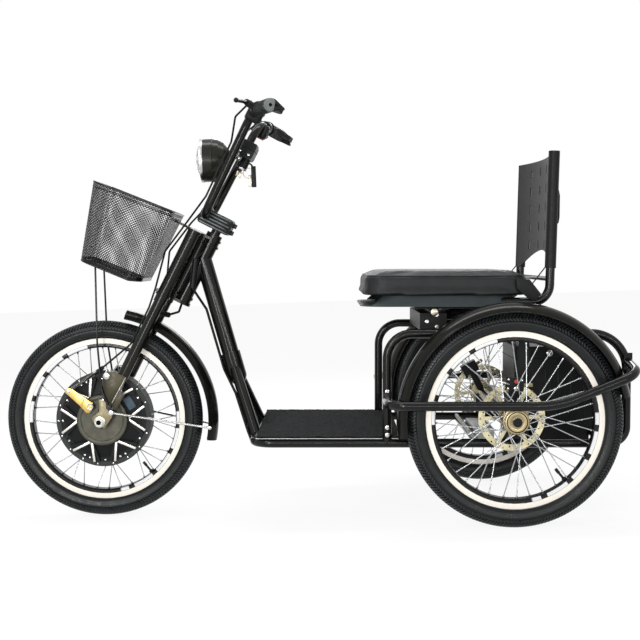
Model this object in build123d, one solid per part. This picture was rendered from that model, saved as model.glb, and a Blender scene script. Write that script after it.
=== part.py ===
from build123d import *
import math
import os

# Electric tricycle with one steered front hub-motor wheel, two rear wheels, a low foot deck,
# a bench seat with a slotted backrest, a wire basket and tubular side guards.
#
# Row frame, millimetres: +Z up, the front points to -X, the left side is -Y. The origin lies on
# the ground at mid length. Two local frames carry most pieces:
#   CHASSIS   origin on the rear axle, pitched a little nose up, x backwards, z up
#   STEERING  origin at the foot of the front axle on the steering axis, z up that axis

# ---------------------------------------------------------------- wheels and stance
WHEELBASE = 1028.0
REAR_TRACK = 600.0
TYRE_RADIUS = 257.0
TYRE_SECTION = 54.0
TYRE_HEIGHT = 46.0
RIM_FLANGE_DEPTH = 8.0
RIM_DEPTH = 24.0
RIM_WIDTH = 30.0
RIM_WALL = 2.5
RIM_FLOOR = 4.0
TYRE_GAP = 0.2
SPOKE_COUNT = 36
SPOKE_RADIUS = 1.3
NIPPLE_RADIUS = 2.4
NIPPLE_LENGTH = 9.0
CHASSIS_PITCH = 2.0

# ---------------------------------------------------------------- front hub motor
MOTOR_RADIUS = 124.0
MOTOR_HALF_WIDTH = 40.0
MOTOR_RIM_HALF_WIDTH = 28.0
MOTOR_RING_DEPTH = 12.0
MOTOR_PANEL_RADIUS = 68.0
MOTOR_PANEL_RECESS = 6.0
MOTOR_RIB_COUNT = 6
MOTOR_RIB_WIDTH = 7.0
FRONT_SPOKE_FLANGE_Y = 24.0
FRONT_SPOKE_LEAN = 8.0
FRONT_AXLE_RADIUS = 6.0
FRONT_AXLE_HALF_LENGTH = 92.0

# ---------------------------------------------------------------- rear hubs
REAR_HUB_RADIUS = 22.0
REAR_FLANGE_RADIUS = 31.0
REAR_FLANGE_HALF_SPACING = 25.0
REAR_FLANGE_THICKNESS = 4.0
REAR_SPOKE_LEAN = 60.0
HUB_CAP_RADIUS = 29.0
HUB_CAP_FACE_Y = 345.0
STUB_AXLE_RADIUS = 8.0
AXLE_FIT = 0.05
AXLE_NUT_RADIUS = 11.0
AXLE_NUT_LENGTH = 6.0
DISC_RADIUS = 80.0
DISC_THICKNESS = 2.0
DISC_BAND = 15.0
DISC_ARM_COUNT = 6
DISC_Y = 262.0
DISC_HOLE_RADIUS = 2.0
DISC_HOLE_COUNT = 30

# ---------------------------------------------------------------- chassis tubes (CHASSIS frame)
RAIL_TUBE_RADIUS = 11.0
RAIL_Y = 240.0
RAIL_Z = -65.0
HOOP_TOP_Z = 200.5
HOOP_FRONT_X = -298.0
HOOP_REAR_X = 279.0
HOOP_FRONT_BEND = 60.0
HOOP_REAR_BEND = 85.0
RAIL_REAR_BEND = 40.0
DECK_FRONT_CLEAR = 149.0
FIRST_CROSS_SETBACK = 150.0
RAIL_CORNER_BEND = 45.0
CROSS_TUBE_RADIUS = 9.0
DECK_PLATE_THICKNESS = 2.0
DECK_PLATE_INSET = 6.0
MAT_THICKNESS = 5.0
MAT_HALF_WIDTH = 252.0
MAT_REAR_X = -264.0
MAT_LEG_GAP = 2.0

# ---------------------------------------------------------------- head, down tube
HEAD_ANGLE = 28.7
FORK_OFFSET = 44.0
HEAD_TUBE_RADIUS = 21.0
HEAD_TUBE_BORE = 16.0
HEAD_TUBE_BOTTOM = 378.0
HEAD_TUBE_TOP = 534.0
HEADSET_HEIGHT = 7.0
HEADSET_RADIUS = 24.0
HEADSET_RUNNING_GAP = 0.3
DOWN_TUBE_RADIUS = 22.0
DOWN_TUBE_HEAD_S = 491.0
LUG_CLEAR = 91.0
LUG_Z = 77.0
LUG_HEIGHT = 62.0
LUG_RADIUS = 25.0
DECK_LEG_RADIUS = 14.0
DECK_LEG_TOP_Y = 10.0
DECK_LEG_FOOT_Y = 118.0

# ---------------------------------------------------------------- fork (STEERING frame)
FORK_LEG_Y = 67.0
FORK_LEG_RADIUS = 16.5
FORK_LOWER_RADIUS = 14.5
COLLAR_HEIGHT = 18.0
UPPER_CROWN_TOP = 550.0
UPPER_CROWN_THICKNESS = 6.0
UPPER_CROWN_FRONT = -106.0
LOWER_CROWN_TOP = 369.0
LOWER_CROWN_THICKNESS = 8.0
LOWER_CROWN_FRONT = -72.0
CROWN_REAR = 24.0
CROWN_WEB = 15.0
CROWN_TONGUE = 20.0
CROWN_RIM = 3.0
RACE_RADIUS = 21.0
TOP_NUT_HEIGHT = 12.0
STEERER_RADIUS = 12.7
STEERER_TOP = 612.0
FOOT_WIDTH = 26.0
FOOT_JOIN = 120.0
FOOT_OUTLINE = (
    (-87, 127),
    (-33, 134),
    (-27, 56),
    (-30, -14),
    (-58, -14),
    (-61, 44),
    (-89, 110),
)

# ---------------------------------------------------------------- front brake (STEERING frame)
BRAKE_PLATE_RADIUS = 65.0
BRAKE_PLATE_GAP = 5.2
BRAKE_PLATE_THICKNESS = 4.0
BRAKE_HUB_RADIUS = 15.0
BRAKE_PIVOT = (-84.0, 23.0)
BRAKE_ARM_END = (-156.0, 33.0)
BRAKE_ARM_Y = 64.0

# ---------------------------------------------------------------- handlebar (STEERING frame)
CLAMP_FRONT = -56.0
CLAMP_REAR = 34.0
CLAMP_BOTTOM = 572.0
CLAMP_TOP = 614.0
CLAMP_HALF_WIDTH = 34.0
CLAMP_GROOVES = 4
BAR_RADIUS = 11.0
BAR_X = -38.0
BAR_BOTTOM_S = 596.0
BAR_BOTTOM_HALF_WIDTH = 84.0
BAR_BOTTOM_BEND = 42.0
BAR_SHOULDER_Y = 133.0
BAR_SHOULDER_S = 880.0
BAR_SHOULDER_BEND = 55.0
BAR_END_X = 15.0
BAR_END_Y = 338.0
BAR_END_S = 893.0
CROSSBAR_S = 772.0
CROSSBAR_RADIUS = 8.0
DASH_FRONT = -45.0
DASH_REAR = 2.0
DASH_HALF_WIDTH = 42.0
DASH_TOP = 815.0
BARREL_X = -12.0
BARREL_Y = -12.0
BARREL_BOTTOM = 744.0
BARREL_RADIUS = 12.0
GRIP_LENGTH = 130.0
GRIP_RADIUS = 16.0
GRIP_CAP = 3.0
PALM_REACH = 32.0
PALM_THICKNESS = 13.0
LEVER_BODY_INBOARD = 180.0
LEVER_BODY_WIDTH = 20.0
LEVER_REACH = 30.0
LEVER_BLADE_LENGTH = 100.0
LEVER_BLADE_RADIUS = 4.5
LEVER_BODY_RADIUS = 8.0
LEVER_TIP_RADIUS = 6.0
LEVER_RING_WALL = 4.0
LEVER_RISE = 4.0
LEVER_SWEEP = 12.0
LEVER_TIP_DROP = 16.0

# ---------------------------------------------------------------- basket (STEERING frame)
BASKET_REAR_X = -106.0
BASKET_TOP_FRONT_X = -325.0
BASKET_BOTTOM_FRONT_X = -270.0
BASKET_TOP_REAR_S = 568.0
BASKET_TOP_FRONT_S = 549.0
BASKET_BOTTOM_REAR_S = 371.0
BASKET_KINK_X = -135.0
BASKET_KINK_S = 360.0
BASKET_BOTTOM_FRONT_S = 350.0
BASKET_TOP_HALF_WIDTH = 132.0
BASKET_BOTTOM_HALF_WIDTH = 106.0
BASKET_WALL = 3.0
BASKET_CORNER = 32.0
BASKET_BAR = 5.0
BASKET_SIDE_GRID = (9, 7)
BASKET_FRONT_GRID = (11, 7)
BASKET_FLOOR_GRID = (8, 6)
BASKET_UPRIGHT = 120.0
BASKET_FOOT_MARGIN = 12.0
BASKET_RIM_MARGIN = 8.0
STAY_RADIUS = 2.5
STAY_Y = 56.0
STAY_KNEE_Y = 66.0
STAY_OUT = 5.0
STAY_TOP_X = -238.0
STAY_KNEE_X = -140.0
STAY_KNEE_S = 176.0
STAY_ELBOW_X = -74.0
STAY_ELBOW_S = 76.0
STAY_FOOT_X = -40.0
STAY_FOOT_S = 46.0

# ---------------------------------------------------------------- lamp (ahead of and below the instrument bar)
LAMP_RADIUS = 56.0
LAMP_REACH = 93.5
LAMP_DROP = 10.3
LAMP_WALL = 3.0
LAMP_STEM_RADIUS = 7.0
LAMP_PROFILE = ((0.0, 56.0), (28.0, 56.0), (46.0, 52.0), (60.0, 44.0), (70.0, 32.0), (74.0, 16.0))
LENS_BULGE = 15.0
LENS_WALL = 3.0

# ---------------------------------------------------------------- mudguards
MUDGUARD_SHEET = 2.0
REAR_MUDGUARD_CLEAR = 22.0
REAR_MUDGUARD_DEPTH = 22.0
REAR_MUDGUARD_WIDTH = 76.0
REAR_MUDGUARD_START = 12.0
REAR_MUDGUARD_END = 189.0
MUDGUARD_TAB_WIDTH = 18.0
MUDGUARD_TAB_HEIGHT = 12.0
MUDGUARD_TAB_LAP = 3.0
MUDGUARD_TAB_BITE = 1.5
FRONT_MUDGUARD_CLEAR = 36.0
FRONT_MUDGUARD_DEPTH = 22.0
FRONT_MUDGUARD_WIDTH = 72.0
FRONT_MUDGUARD_START = -13.0
FRONT_MUDGUARD_END = 77.0
FRONT_MUDGUARD_SHIFT_X = 5.0
FRONT_MUDGUARD_SHIFT_Z = -3.0
STAY_FOOT = (-28.0, 35.0)
STAY_ANGLE = -6.0

# ---------------------------------------------------------------- side guards (CHASSIS frame)
GUARD_TUBE_RADIUS = 11.0
GUARD_Y = 363.0
GUARD_Z = 40.0
GUARD_BEND_X = 90.0
GUARD_RISE_BEND = 250.0
GUARD_REAR_X = 277.0
GUARD_REAR_Z = 115.0
GUARD_END_Z = 135.0
GUARD_CORNER = 44.0
GUARD_TAB_THICKNESS = 5.0
GUARD_TAB_WIDTH = 20.0
GUARD_TAB_HEIGHT = 40.0

# ---------------------------------------------------------------- seat (CHASSIS frame)
SEAT_FRONT_X = -361.0
SEAT_REAR_X = 57.0
SEAT_HALF_WIDTH = 238.0
SEAT_BOTTOM_Z = 292.0
CUSHION_HEIGHT = 46.0
CUSHION_CROWN = 13.0
CROWN_INSET = 45.0
SEAT_CORNER = 60.0
SEAT_GAP = 0.3
PAN_FRONT_X = -361.0
PAN_REAR_X = 26.0
PAN_INSET = 2.0
PAN_HALF_WIDTH = SEAT_HALF_WIDTH - PAN_INSET
PAN_THICKNESS = 27.0
PAN_NOSE_SLOPE = 30.0
PAN_REAR_SLOPE = 8.0
PAN_SIDE_SLOPE = 12.0
PAN_CORNER = 60.0
PAN_WALL = 3.0
PAN_TUBE_Z = 276.0
BACKREST_FOOT_X = 98.0
BACKREST_BOTTOM_Z = 358.0
BACKREST_HEIGHT = 282.0
BACKREST_LEAN = 1.5
BACKREST_TUBE_Y = 217.0
BACKREST_TUBE_RADIUS = 11.0
BACKREST_WALL = 2.5
BACKREST_BEND = 42.0
BACKREST_BULGE = 30.0
BACKREST_CAP = 6.0
BRACE_DROP = 26.0
BRACE_RADIUS = 6.0
SLOT_ROWS = 5
SLOT_COLUMNS = 4
SLOT_LENGTH = 24.0
SLOT_WIDTH = 8.0
SLOT_PITCH_Y = 84.0
SLOT_PITCH_Z = 48.0
SLOT_TOP_MARGIN = 30.0
ARCH_HALF_WIDTH = 190.0
ARCH_HEIGHT = 46.0
BRACKET_X = -181.0
BRACKET_LENGTH = 66.0
BRACKET_HALF_WIDTH = 176.0
BRACKET_WALL = 4.0
HINGE_Z = 251.0
HINGE_RADIUS = 8.0
STOP_X = -24.0
STOP_HALF_WIDTH = 40.0

# ---------------------------------------------------------------- boxes and brakes (CHASSIS frame)
POST_X = 54.0
POST_WIDTH = 28.0
POST_THICKNESS = 4.0
BATTERY_FRONT_X = 32.0
BATTERY_REAR_X = 258.0
BATTERY_HALF_WIDTH = 105.0
BATTERY_BOTTOM_Z = -86.0
BATTERY_TOP_Z = 159.0
BATTERY_CORNER = 10.0
BATTERY_CROSS_PLACES = (POST_X, BATTERY_REAR_X - 24.0)
CONTROLLER_FRONT_X = -69.0
CONTROLLER_REAR_X = -17.0
CONTROLLER_HALF_WIDTH = 92.0
CONTROLLER_BOTTOM_Z = -82.0
CONTROLLER_TOP_Z = -50.0
AXLE_BEAM_RADIUS = 17.0
AXLE_BEAM_END = 256.0
SADDLE_WIDTH = 44.0
SADDLE_THICKNESS = 8.0
NUT_GAP = 0.5
CALIPER_ANGLES = {"left": 86.0, "right": 118.0}
CALIPER_GAP = 3.0
CALIPER_WIDTH = 44.0
CALIPER_DEPTH = 18.0
CALIPER_BRIDGE = 16.0
CALIPER_PLATE = 5.0
CALIPER_ARM_THICKNESS = 6.0
CALIPER_ARM_HEIGHT = 18.0

# ---------------------------------------------------------------- cables
CABLE_RADIUS = 2.5
CABLE_BEND = 15.0
LOOM_RADIUS = 3.0
LOOM_SPREAD = 4.0
LOOM_GAP = 0.5
LOOM_BEND = 14.0
LOOM_MEET = 130.0
SLEEVE_RADIUS = 8.0
ADJUSTER_RADIUS = 5.0
# route points in the STEERING frame: left brake cable, right brake cable, motor lead under the crown
BRAKE_CABLE_UPPER = (
    (-50.0, 192.0, 883.0),
    (-66.0, 172.0, 846.0),
    (-54.0, 120.0, 790.0),
    (-54.0, 92.0, 640.0),
    (-74.0, 44.0, 560.0),
    (-92.0, 40.0, 466.0),
)
BRAKE_CABLE_LOWER = (
    (-69.0, 67.0, 372.0),
    (-62.0, 67.0, 320.0),
    (-62.0, 67.0, 215.0),
    (-108.0, 66.0, 110.0),
    (-150.0, 61.5, 38.0),
)
RIGHT_CABLE_END = (-58.0, 62.0, 368.0)
ADJUSTER_ENDS = ((-99.5, 66.2, 129.0), (-108.0, 66.0, 110.0))
ADJUSTER_TAB = ((-104.0, 66.2, 118.0), (-86.0, 66.2, 118.0))
MOTOR_LEAD = ((2.0, 0.0, 362.0), (6.0, -8.0, 338.0), (-14.0, -28.0, 320.0), (-34.0, -56.0, 318.0))
MOTOR_PLUG = ((-12.0, -26.0, 321.0), (-24.0, -42.0, 319.0))
LOOM_HEAD = ((-2.0, -15.0, 514.0), (-14.0, -35.0, 484.0), (12.0, -33.0, 412.0))
# route points in the CHASSIS frame, from the deck's front edge to the first cross tube
LOOM_DECK = ((-632.0, -106.0, -90.0), (-472.0, -100.0, -76.0), (-440.0, -100.0, -76.0))

# ---------------------------------------------------------------- derived places
RIM_OUTER_RADIUS = TYRE_RADIUS - TYRE_HEIGHT
RIM_SEAT_RADIUS = RIM_OUTER_RADIUS - RIM_FLANGE_DEPTH
RIM_INNER_RADIUS = RIM_OUTER_RADIUS - RIM_DEPTH
REAR_MUDGUARD_RADIUS = TYRE_RADIUS + REAR_MUDGUARD_CLEAR
FRONT_MUDGUARD_RADIUS = TYRE_RADIUS + FRONT_MUDGUARD_CLEAR
DECK_FRONT_X = TYRE_RADIUS + DECK_FRONT_CLEAR - WHEELBASE
LUG_X = TYRE_RADIUS + LUG_CLEAR - WHEELBASE
LOW_CROSS_PLACES = (
    DECK_FRONT_X + FIRST_CROSS_SETBACK,
    HOOP_FRONT_X,
    CONTROLLER_FRONT_X - CROSS_TUBE_RADIUS,
) + BATTERY_CROSS_PLACES
PITCH = math.radians(CHASSIS_PITCH)
RAKE = math.radians(HEAD_ANGLE)
REAR_OVERHANG = (
    (HOOP_REAR_X - HOOP_REAR_BEND) * math.cos(PITCH)
    + (HOOP_TOP_Z - HOOP_REAR_BEND) * math.sin(PITCH)
    + HOOP_REAR_BEND
    + RAIL_TUBE_RADIUS
)
OVERALL_LENGTH = TYRE_RADIUS + WHEELBASE + REAR_OVERHANG
REAR_AXLE_X = OVERALL_LENGTH / 2 - REAR_OVERHANG
FRONT_AXLE_X = REAR_AXLE_X - WHEELBASE
STEER_X = FRONT_AXLE_X + FORK_OFFSET * math.cos(RAKE)
STEER_Z = TYRE_RADIUS - FORK_OFFSET * math.sin(RAKE)
CHASSIS = Location((REAR_AXLE_X, 0, TYRE_RADIUS), (0, CHASSIS_PITCH, 0))
STEERING = Location((STEER_X, 0, STEER_Z), (0, HEAD_ANGLE, 0))
WHEEL_Y = REAR_TRACK / 2
SIDES = {"left": -1, "right": 1}


# ================================================================ helpers
def rod(start, end, radius):
    """Round bar of the given radius between two points."""
    start = Vector(*start)
    end = Vector(*end)
    along = end - start
    return Solid.make_cylinder(radius, along.length, Plane(origin=start, z_dir=along))


def block(x_range, y_range, z_range):
    """Box from its low and high values on each axis."""
    size = [high - low for low, high in (x_range, y_range, z_range)]
    middle = [(high + low) / 2 for low, high in (x_range, y_range, z_range)]
    return Pos(*middle) * Box(*size)


def bent_bar(points, bends, radius):
    """Round bar along straight runs joined by tangent bends, one bend radius per corner."""
    path = FilletPolyline(*points, radius=bends)
    section = Plane(origin=path @ 0, z_dir=path % 0) * Circle(radius)
    return sweep(section, path=path)


def turned(profile):
    """Solid of revolution about Y from (radius, y) points."""
    return revolve(make_face(Polyline(*profile, close=True)), axis=Axis.Y).solid()


def disc(radius, y_low, y_high):
    """Plain cylinder about the Y axis."""
    return rod((0, y_low, 0), (0, y_high, 0), radius)


def fuse(first, others):
    """One solid from a body and a list of bodies that run into it."""
    return first.fuse(*others) if others else first


def largest(shape):
    """The biggest solid of a shape that was cut."""
    return shape.solids().sort_by(SortBy.VOLUME)[-1]


def save(name, shape):
    """Write one sub-part."""
    export_step(shape, f"parts/{name}.step")


def in_chassis(shape):
    """Move a piece built in the chassis frame to its place."""
    return CHASSIS * shape


def in_steering(shape):
    """Move a piece built in the steering frame to its place."""
    return STEERING * shape


# ================================================================ wheels
def make_tyre():
    """Tyre about the Y axis, closed on the inside by the rim seat."""
    half = TYRE_SECTION / 2
    crown = TYRE_RADIUS - half
    bead = RIM_WIDTH / 2 - RIM_WALL - TYRE_GAP
    seat = RIM_SEAT_RADIUS + TYRE_GAP
    flange = RIM_OUTER_RADIUS + TYRE_GAP
    shoulder = math.sqrt(half**2 - (crown - flange) ** 2)
    outline = [
        ThreePointArc((flange, -shoulder), (TYRE_RADIUS, 0), (flange, shoulder)),
        Line((flange, shoulder), (flange, bead)),
        Line((flange, bead), (seat, bead)),
        Line((seat, bead), (seat, -bead)),
        Line((seat, -bead), (flange, -bead)),
        Line((flange, -bead), (flange, -shoulder)),
    ]
    return revolve(make_face(Wire(outline)), axis=Axis.Y).solid()


def make_rim():
    """Box-section rim with two flanges and a well for the tyre."""
    half = RIM_WIDTH / 2
    inner = half - RIM_WALL
    profile = [
        (RIM_INNER_RADIUS, -half + RIM_FLOOR),
        (RIM_INNER_RADIUS + RIM_FLOOR, -half),
        (RIM_OUTER_RADIUS, -half),
        (RIM_OUTER_RADIUS, -inner),
        (RIM_SEAT_RADIUS, -inner),
        (RIM_SEAT_RADIUS, inner),
        (RIM_OUTER_RADIUS, inner),
        (RIM_OUTER_RADIUS, half),
        (RIM_INNER_RADIUS + RIM_FLOOR, half),
        (RIM_INNER_RADIUS, half - RIM_FLOOR),
    ]
    return turned(profile)


def make_spokes(flange_radius, flange_y, lean):
    """Laced spokes with their nipples, alternately on the two flanges."""
    spokes = []
    reach = RIM_INNER_RADIUS + RIM_FLOOR
    for index in range(SPOKE_COUNT):
        side = -1 if index % 2 else 1
        trail = 1 if (index // 2) % 2 else -1
        at_rim = math.radians(index * 360 / SPOKE_COUNT)
        at_hub = at_rim + math.radians(trail * lean)
        start = (flange_radius * math.cos(at_hub), side * flange_y, flange_radius * math.sin(at_hub))
        end = (reach * math.cos(at_rim), side * SPOKE_RADIUS, reach * math.sin(at_rim))
        spokes.append(rod(start, end, SPOKE_RADIUS))
        run = Vector(*end) - Vector(*start)
        neck = Vector(*end) - run * (NIPPLE_LENGTH / run.length)
        spokes.append(rod(tuple(neck), end, NIPPLE_RADIUS))
    return spokes


def front_wheel_pieces():
    """Front tyre, laced rim and hub motor, about the front axle."""
    place = Pos(FRONT_AXLE_X, 0, TYRE_RADIUS)
    ring_inner = MOTOR_RADIUS - MOTOR_RING_DEPTH
    flange = turned(
        [
            (ring_inner, -MOTOR_RIM_HALF_WIDTH),
            (MOTOR_RADIUS, -MOTOR_RIM_HALF_WIDTH),
            (MOTOR_RADIUS, MOTOR_RIM_HALF_WIDTH),
            (ring_inner, MOTOR_RIM_HALF_WIDTH),
        ]
    )
    flange_reach = MOTOR_RADIUS - MOTOR_RING_DEPTH / 2
    spokes = make_spokes(flange_reach, FRONT_SPOKE_FLANGE_Y, FRONT_SPOKE_LEAN)
    wheel = fuse(flange, [make_rim()] + spokes)

    panel = MOTOR_HALF_WIDTH - MOTOR_PANEL_RECESS
    motor = turned(
        [
            (FRONT_AXLE_RADIUS + AXLE_FIT, -MOTOR_HALF_WIDTH),
            (MOTOR_PANEL_RADIUS, -MOTOR_HALF_WIDTH),
            (MOTOR_PANEL_RADIUS, -panel),
            (ring_inner - MOTOR_RING_DEPTH, -MOTOR_RIM_HALF_WIDTH),
            (ring_inner, -MOTOR_RIM_HALF_WIDTH),
            (ring_inner, MOTOR_RIM_HALF_WIDTH),
            (ring_inner - MOTOR_RING_DEPTH, MOTOR_RIM_HALF_WIDTH),
            (MOTOR_PANEL_RADIUS, panel),
            (MOTOR_PANEL_RADIUS, MOTOR_HALF_WIDTH),
            (FRONT_AXLE_RADIUS + AXLE_FIT, MOTOR_HALF_WIDTH),
        ]
    )
    ribs = []
    spread = math.radians(360 / MOTOR_RIB_COUNT / 2)
    for index in range(MOTOR_RIB_COUNT):
        angle = math.radians(index * 360 / MOTOR_RIB_COUNT)
        root = MOTOR_PANEL_RADIUS - MOTOR_RIB_WIDTH / 2
        tip = ring_inner - MOTOR_RIB_WIDTH / 2
        for lean in (-spread * 0.72, spread * 0.72):
            start = Vector(root * math.cos(angle), root * math.sin(angle))
            end = Vector(tip * math.cos(angle + lean), tip * math.sin(angle + lean))
            middle = (start + end) * 0.5
            run = end - start
            turn = math.degrees(math.atan2(run.Y, run.X))
            for side in (-1, 1):
                depth = MOTOR_HALF_WIDTH - MOTOR_RIM_HALF_WIDTH + 4
                bar = Box(run.length + MOTOR_RIB_WIDTH / 2, depth, MOTOR_RIB_WIDTH)
                centre_y = side * (MOTOR_HALF_WIDTH - 1.5 - depth / 2)
                ribs.append(Pos(middle.X, centre_y, middle.Y) * Rot(0, -turn, 0) * bar)
    motor = fuse(motor, ribs)
    return {
        "front_tyre": place * make_tyre(),
        "front_rim": place * wheel,
        "hub_motor": place * motor,
    }


def rear_wheel_pieces(name, side):
    """Tyre, laced wheel and brake disc of one rear wheel, turning on its stub axle."""
    place = Pos(REAR_AXLE_X, side * WHEEL_Y, TYRE_RADIUS)
    bore = STUB_AXLE_RADIUS + AXLE_FIT
    flange_in = REAR_FLANGE_HALF_SPACING - REAR_FLANGE_THICKNESS / 2
    flange_out = REAR_FLANGE_HALF_SPACING + REAR_FLANGE_THICKNESS / 2
    cap_face = HUB_CAP_FACE_Y - WHEEL_Y
    disc_seat = DISC_Y + DISC_THICKNESS / 2 - WHEEL_Y
    # y below runs outwards, away from the frame
    profile = [
        (bore, disc_seat),
        (REAR_HUB_RADIUS, disc_seat),
        (REAR_HUB_RADIUS, -flange_out),
        (REAR_FLANGE_RADIUS, -flange_out),
        (REAR_FLANGE_RADIUS, -flange_in),
        (REAR_HUB_RADIUS, -flange_in),
        (REAR_HUB_RADIUS, flange_in),
        (REAR_FLANGE_RADIUS, flange_in),
        (REAR_FLANGE_RADIUS, flange_out),
        (HUB_CAP_RADIUS, flange_out),
        (HUB_CAP_RADIUS, cap_face - 3),
        (HUB_CAP_RADIUS - 3, cap_face),
        (bore, cap_face),
    ]
    hub = turned(profile)
    hub_reach = REAR_FLANGE_RADIUS - REAR_FLANGE_THICKNESS
    spokes = make_spokes(hub_reach, REAR_FLANGE_HALF_SPACING, REAR_SPOKE_LEAN)
    wheel = fuse(hub, [make_rim()] + spokes)
    if side < 0:
        wheel = wheel.mirror(Plane.XZ)

    half = DISC_THICKNESS / 2
    band = disc(DISC_RADIUS, -half, half) - disc(DISC_RADIUS - DISC_BAND, -half, half)
    centre = disc(REAR_FLANGE_RADIUS, -half, half)
    arms = []
    for index in range(DISC_ARM_COUNT):
        angle = index * 360 / DISC_ARM_COUNT
        arm_length = DISC_RADIUS - DISC_BAND / 2
        arm = Pos(arm_length / 2, 0, 0) * Box(arm_length, DISC_THICKNESS, 9)
        arms.append(Rot(0, angle, 0) * arm)
    holes = [disc(bore + 1, -DISC_THICKNESS, DISC_THICKNESS)]
    for index in range(DISC_HOLE_COUNT):
        angle = math.radians(index * 360 / DISC_HOLE_COUNT)
        ring = DISC_RADIUS - DISC_BAND * (0.3 if index % 2 else 0.7)
        spot = Pos(ring * math.cos(angle), 0, ring * math.sin(angle))
        holes.append(spot * disc(DISC_HOLE_RADIUS, -DISC_THICKNESS, DISC_THICKNESS))
    rotor = fuse(band, [centre] + arms).cut(*holes)
    rotor = Pos(REAR_AXLE_X, side * DISC_Y, TYRE_RADIUS) * rotor
    return {
        f"rear_tyre_{name}": place * make_tyre(),
        f"rear_rim_{name}": place * wheel,
        f"brake_disc_{name}": rotor,
    }


# ================================================================ chassis
def side_loop(side):
    """Foot rail and seat hoop of one side, one bent tube, with half of the front cross run."""
    y = side * RAIL_Y
    points = [
        (DECK_FRONT_X, 0, RAIL_Z),
        (DECK_FRONT_X, y, RAIL_Z),
        (HOOP_REAR_X, y, RAIL_Z),
        (HOOP_REAR_X, y, HOOP_TOP_Z),
        (HOOP_FRONT_X, y, HOOP_TOP_Z),
        (HOOP_FRONT_X, y, 0),
    ]
    bends = [RAIL_CORNER_BEND, RAIL_REAR_BEND, HOOP_REAR_BEND, HOOP_FRONT_BEND]
    loop = bent_bar(points, bends, RAIL_TUBE_RADIUS)
    foot = rod((HOOP_FRONT_X, y, 0), (HOOP_FRONT_X, y, RAIL_Z), RAIL_TUBE_RADIUS)
    return loop.fuse(foot)


LOOPS = {name: side_loop(side) for name, side in SIDES.items()}


def coped(shape):
    """Largest piece of a shape once the two side loops are cut out of it."""
    return shape.cut(*LOOPS.values()).solids().sort_by(SortBy.VOLUME)[-1]


def cross_bar(x, z):
    """Cross member between the two sides, coped to the tubes that it meets."""
    bar = rod((x, -RAIL_Y, z), (x, RAIL_Y, z), CROSS_TUBE_RADIUS)
    return coped(bar)


def cross_tubes():
    """All cross members and the two posts that carry the battery box."""
    bars = [cross_bar(x, RAIL_Z) for x in LOW_CROSS_PLACES]
    bars += [cross_bar(x, HOOP_TOP_Z) for x in (POST_X, BRACKET_X, STOP_X)]
    posts = []
    for side in SIDES.values():
        across = sorted((side * BATTERY_HALF_WIDTH, side * (BATTERY_HALF_WIDTH + POST_THICKNESS)))
        along = (POST_X - POST_WIDTH / 2, POST_X + POST_WIDTH / 2)
        post = block(along, across, (RAIL_Z, HOOP_TOP_Z))
        posts.append(post.cut(*bars).solids().sort_by(SortBy.VOLUME)[-1])
    return Compound(bars + posts)


def down_tube_ends():
    """Ends of the down tube's centre line in the row frame."""
    top = (STEERING * Pos(0, 0, DOWN_TUBE_HEAD_S)).position
    foot = (CHASSIS * Pos(LUG_X, 0, LUG_Z)).position
    return top, foot


def deck_leg_ends(side):
    """Ends of one deck leg's centre line in the row frame."""
    top, foot = down_tube_ends()
    upwards = (top - foot).normalized()
    start = foot + upwards * LUG_HEIGHT * 0.4 + Vector(0, side * DECK_LEG_TOP_Y, 0)
    end = (CHASSIS * Pos(DECK_FRONT_X, side * DECK_LEG_FOOT_Y, RAIL_Z)).position
    return start, end


def deck_leg_rods(radius):
    """Bars on the lines of the two deck legs."""
    rods = []
    for side in SIDES.values():
        start, end = deck_leg_ends(side)
        rods.append(rod(tuple(start), tuple(end), radius))
    return rods


def main_frame():
    """Head tube, down tube with its lug and the two deck legs, welded into one."""
    top, foot = down_tube_ends()
    upwards = (top - foot).normalized()
    head = in_steering(rod((0, 0, HEAD_TUBE_BOTTOM), (0, 0, HEAD_TUBE_TOP), HEAD_TUBE_RADIUS))
    pieces = [rod(tuple(top), tuple(foot), DOWN_TUBE_RADIUS)]
    for low in (HEAD_TUBE_BOTTOM, HEAD_TUBE_TOP - HEADSET_HEIGHT):
        pieces.append(in_steering(rod((0, 0, low), (0, 0, low + HEADSET_HEIGHT), HEADSET_RADIUS)))
    pieces.append(rod(tuple(foot), tuple(foot + upwards * LUG_HEIGHT), LUG_RADIUS))
    pieces.append(Pos(*foot) * Sphere(LUG_RADIUS))
    pieces += deck_leg_rods(DECK_LEG_RADIUS)
    bore = in_steering(rod((0, 0, HEAD_TUBE_BOTTOM - 1), (0, 0, HEAD_TUBE_TOP + 1), HEAD_TUBE_BORE))
    welded = head.fuse(*pieces) - bore
    rails = [in_chassis(loop) for loop in LOOPS.values()]
    below = in_chassis(block((LUG_X, 0), (-RAIL_Y, RAIL_Y), (RAIL_Z - LUG_HEIGHT, RAIL_Z)))
    return welded.cut(below, *rails).solids().sort_by(SortBy.VOLUME)[-1]


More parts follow.
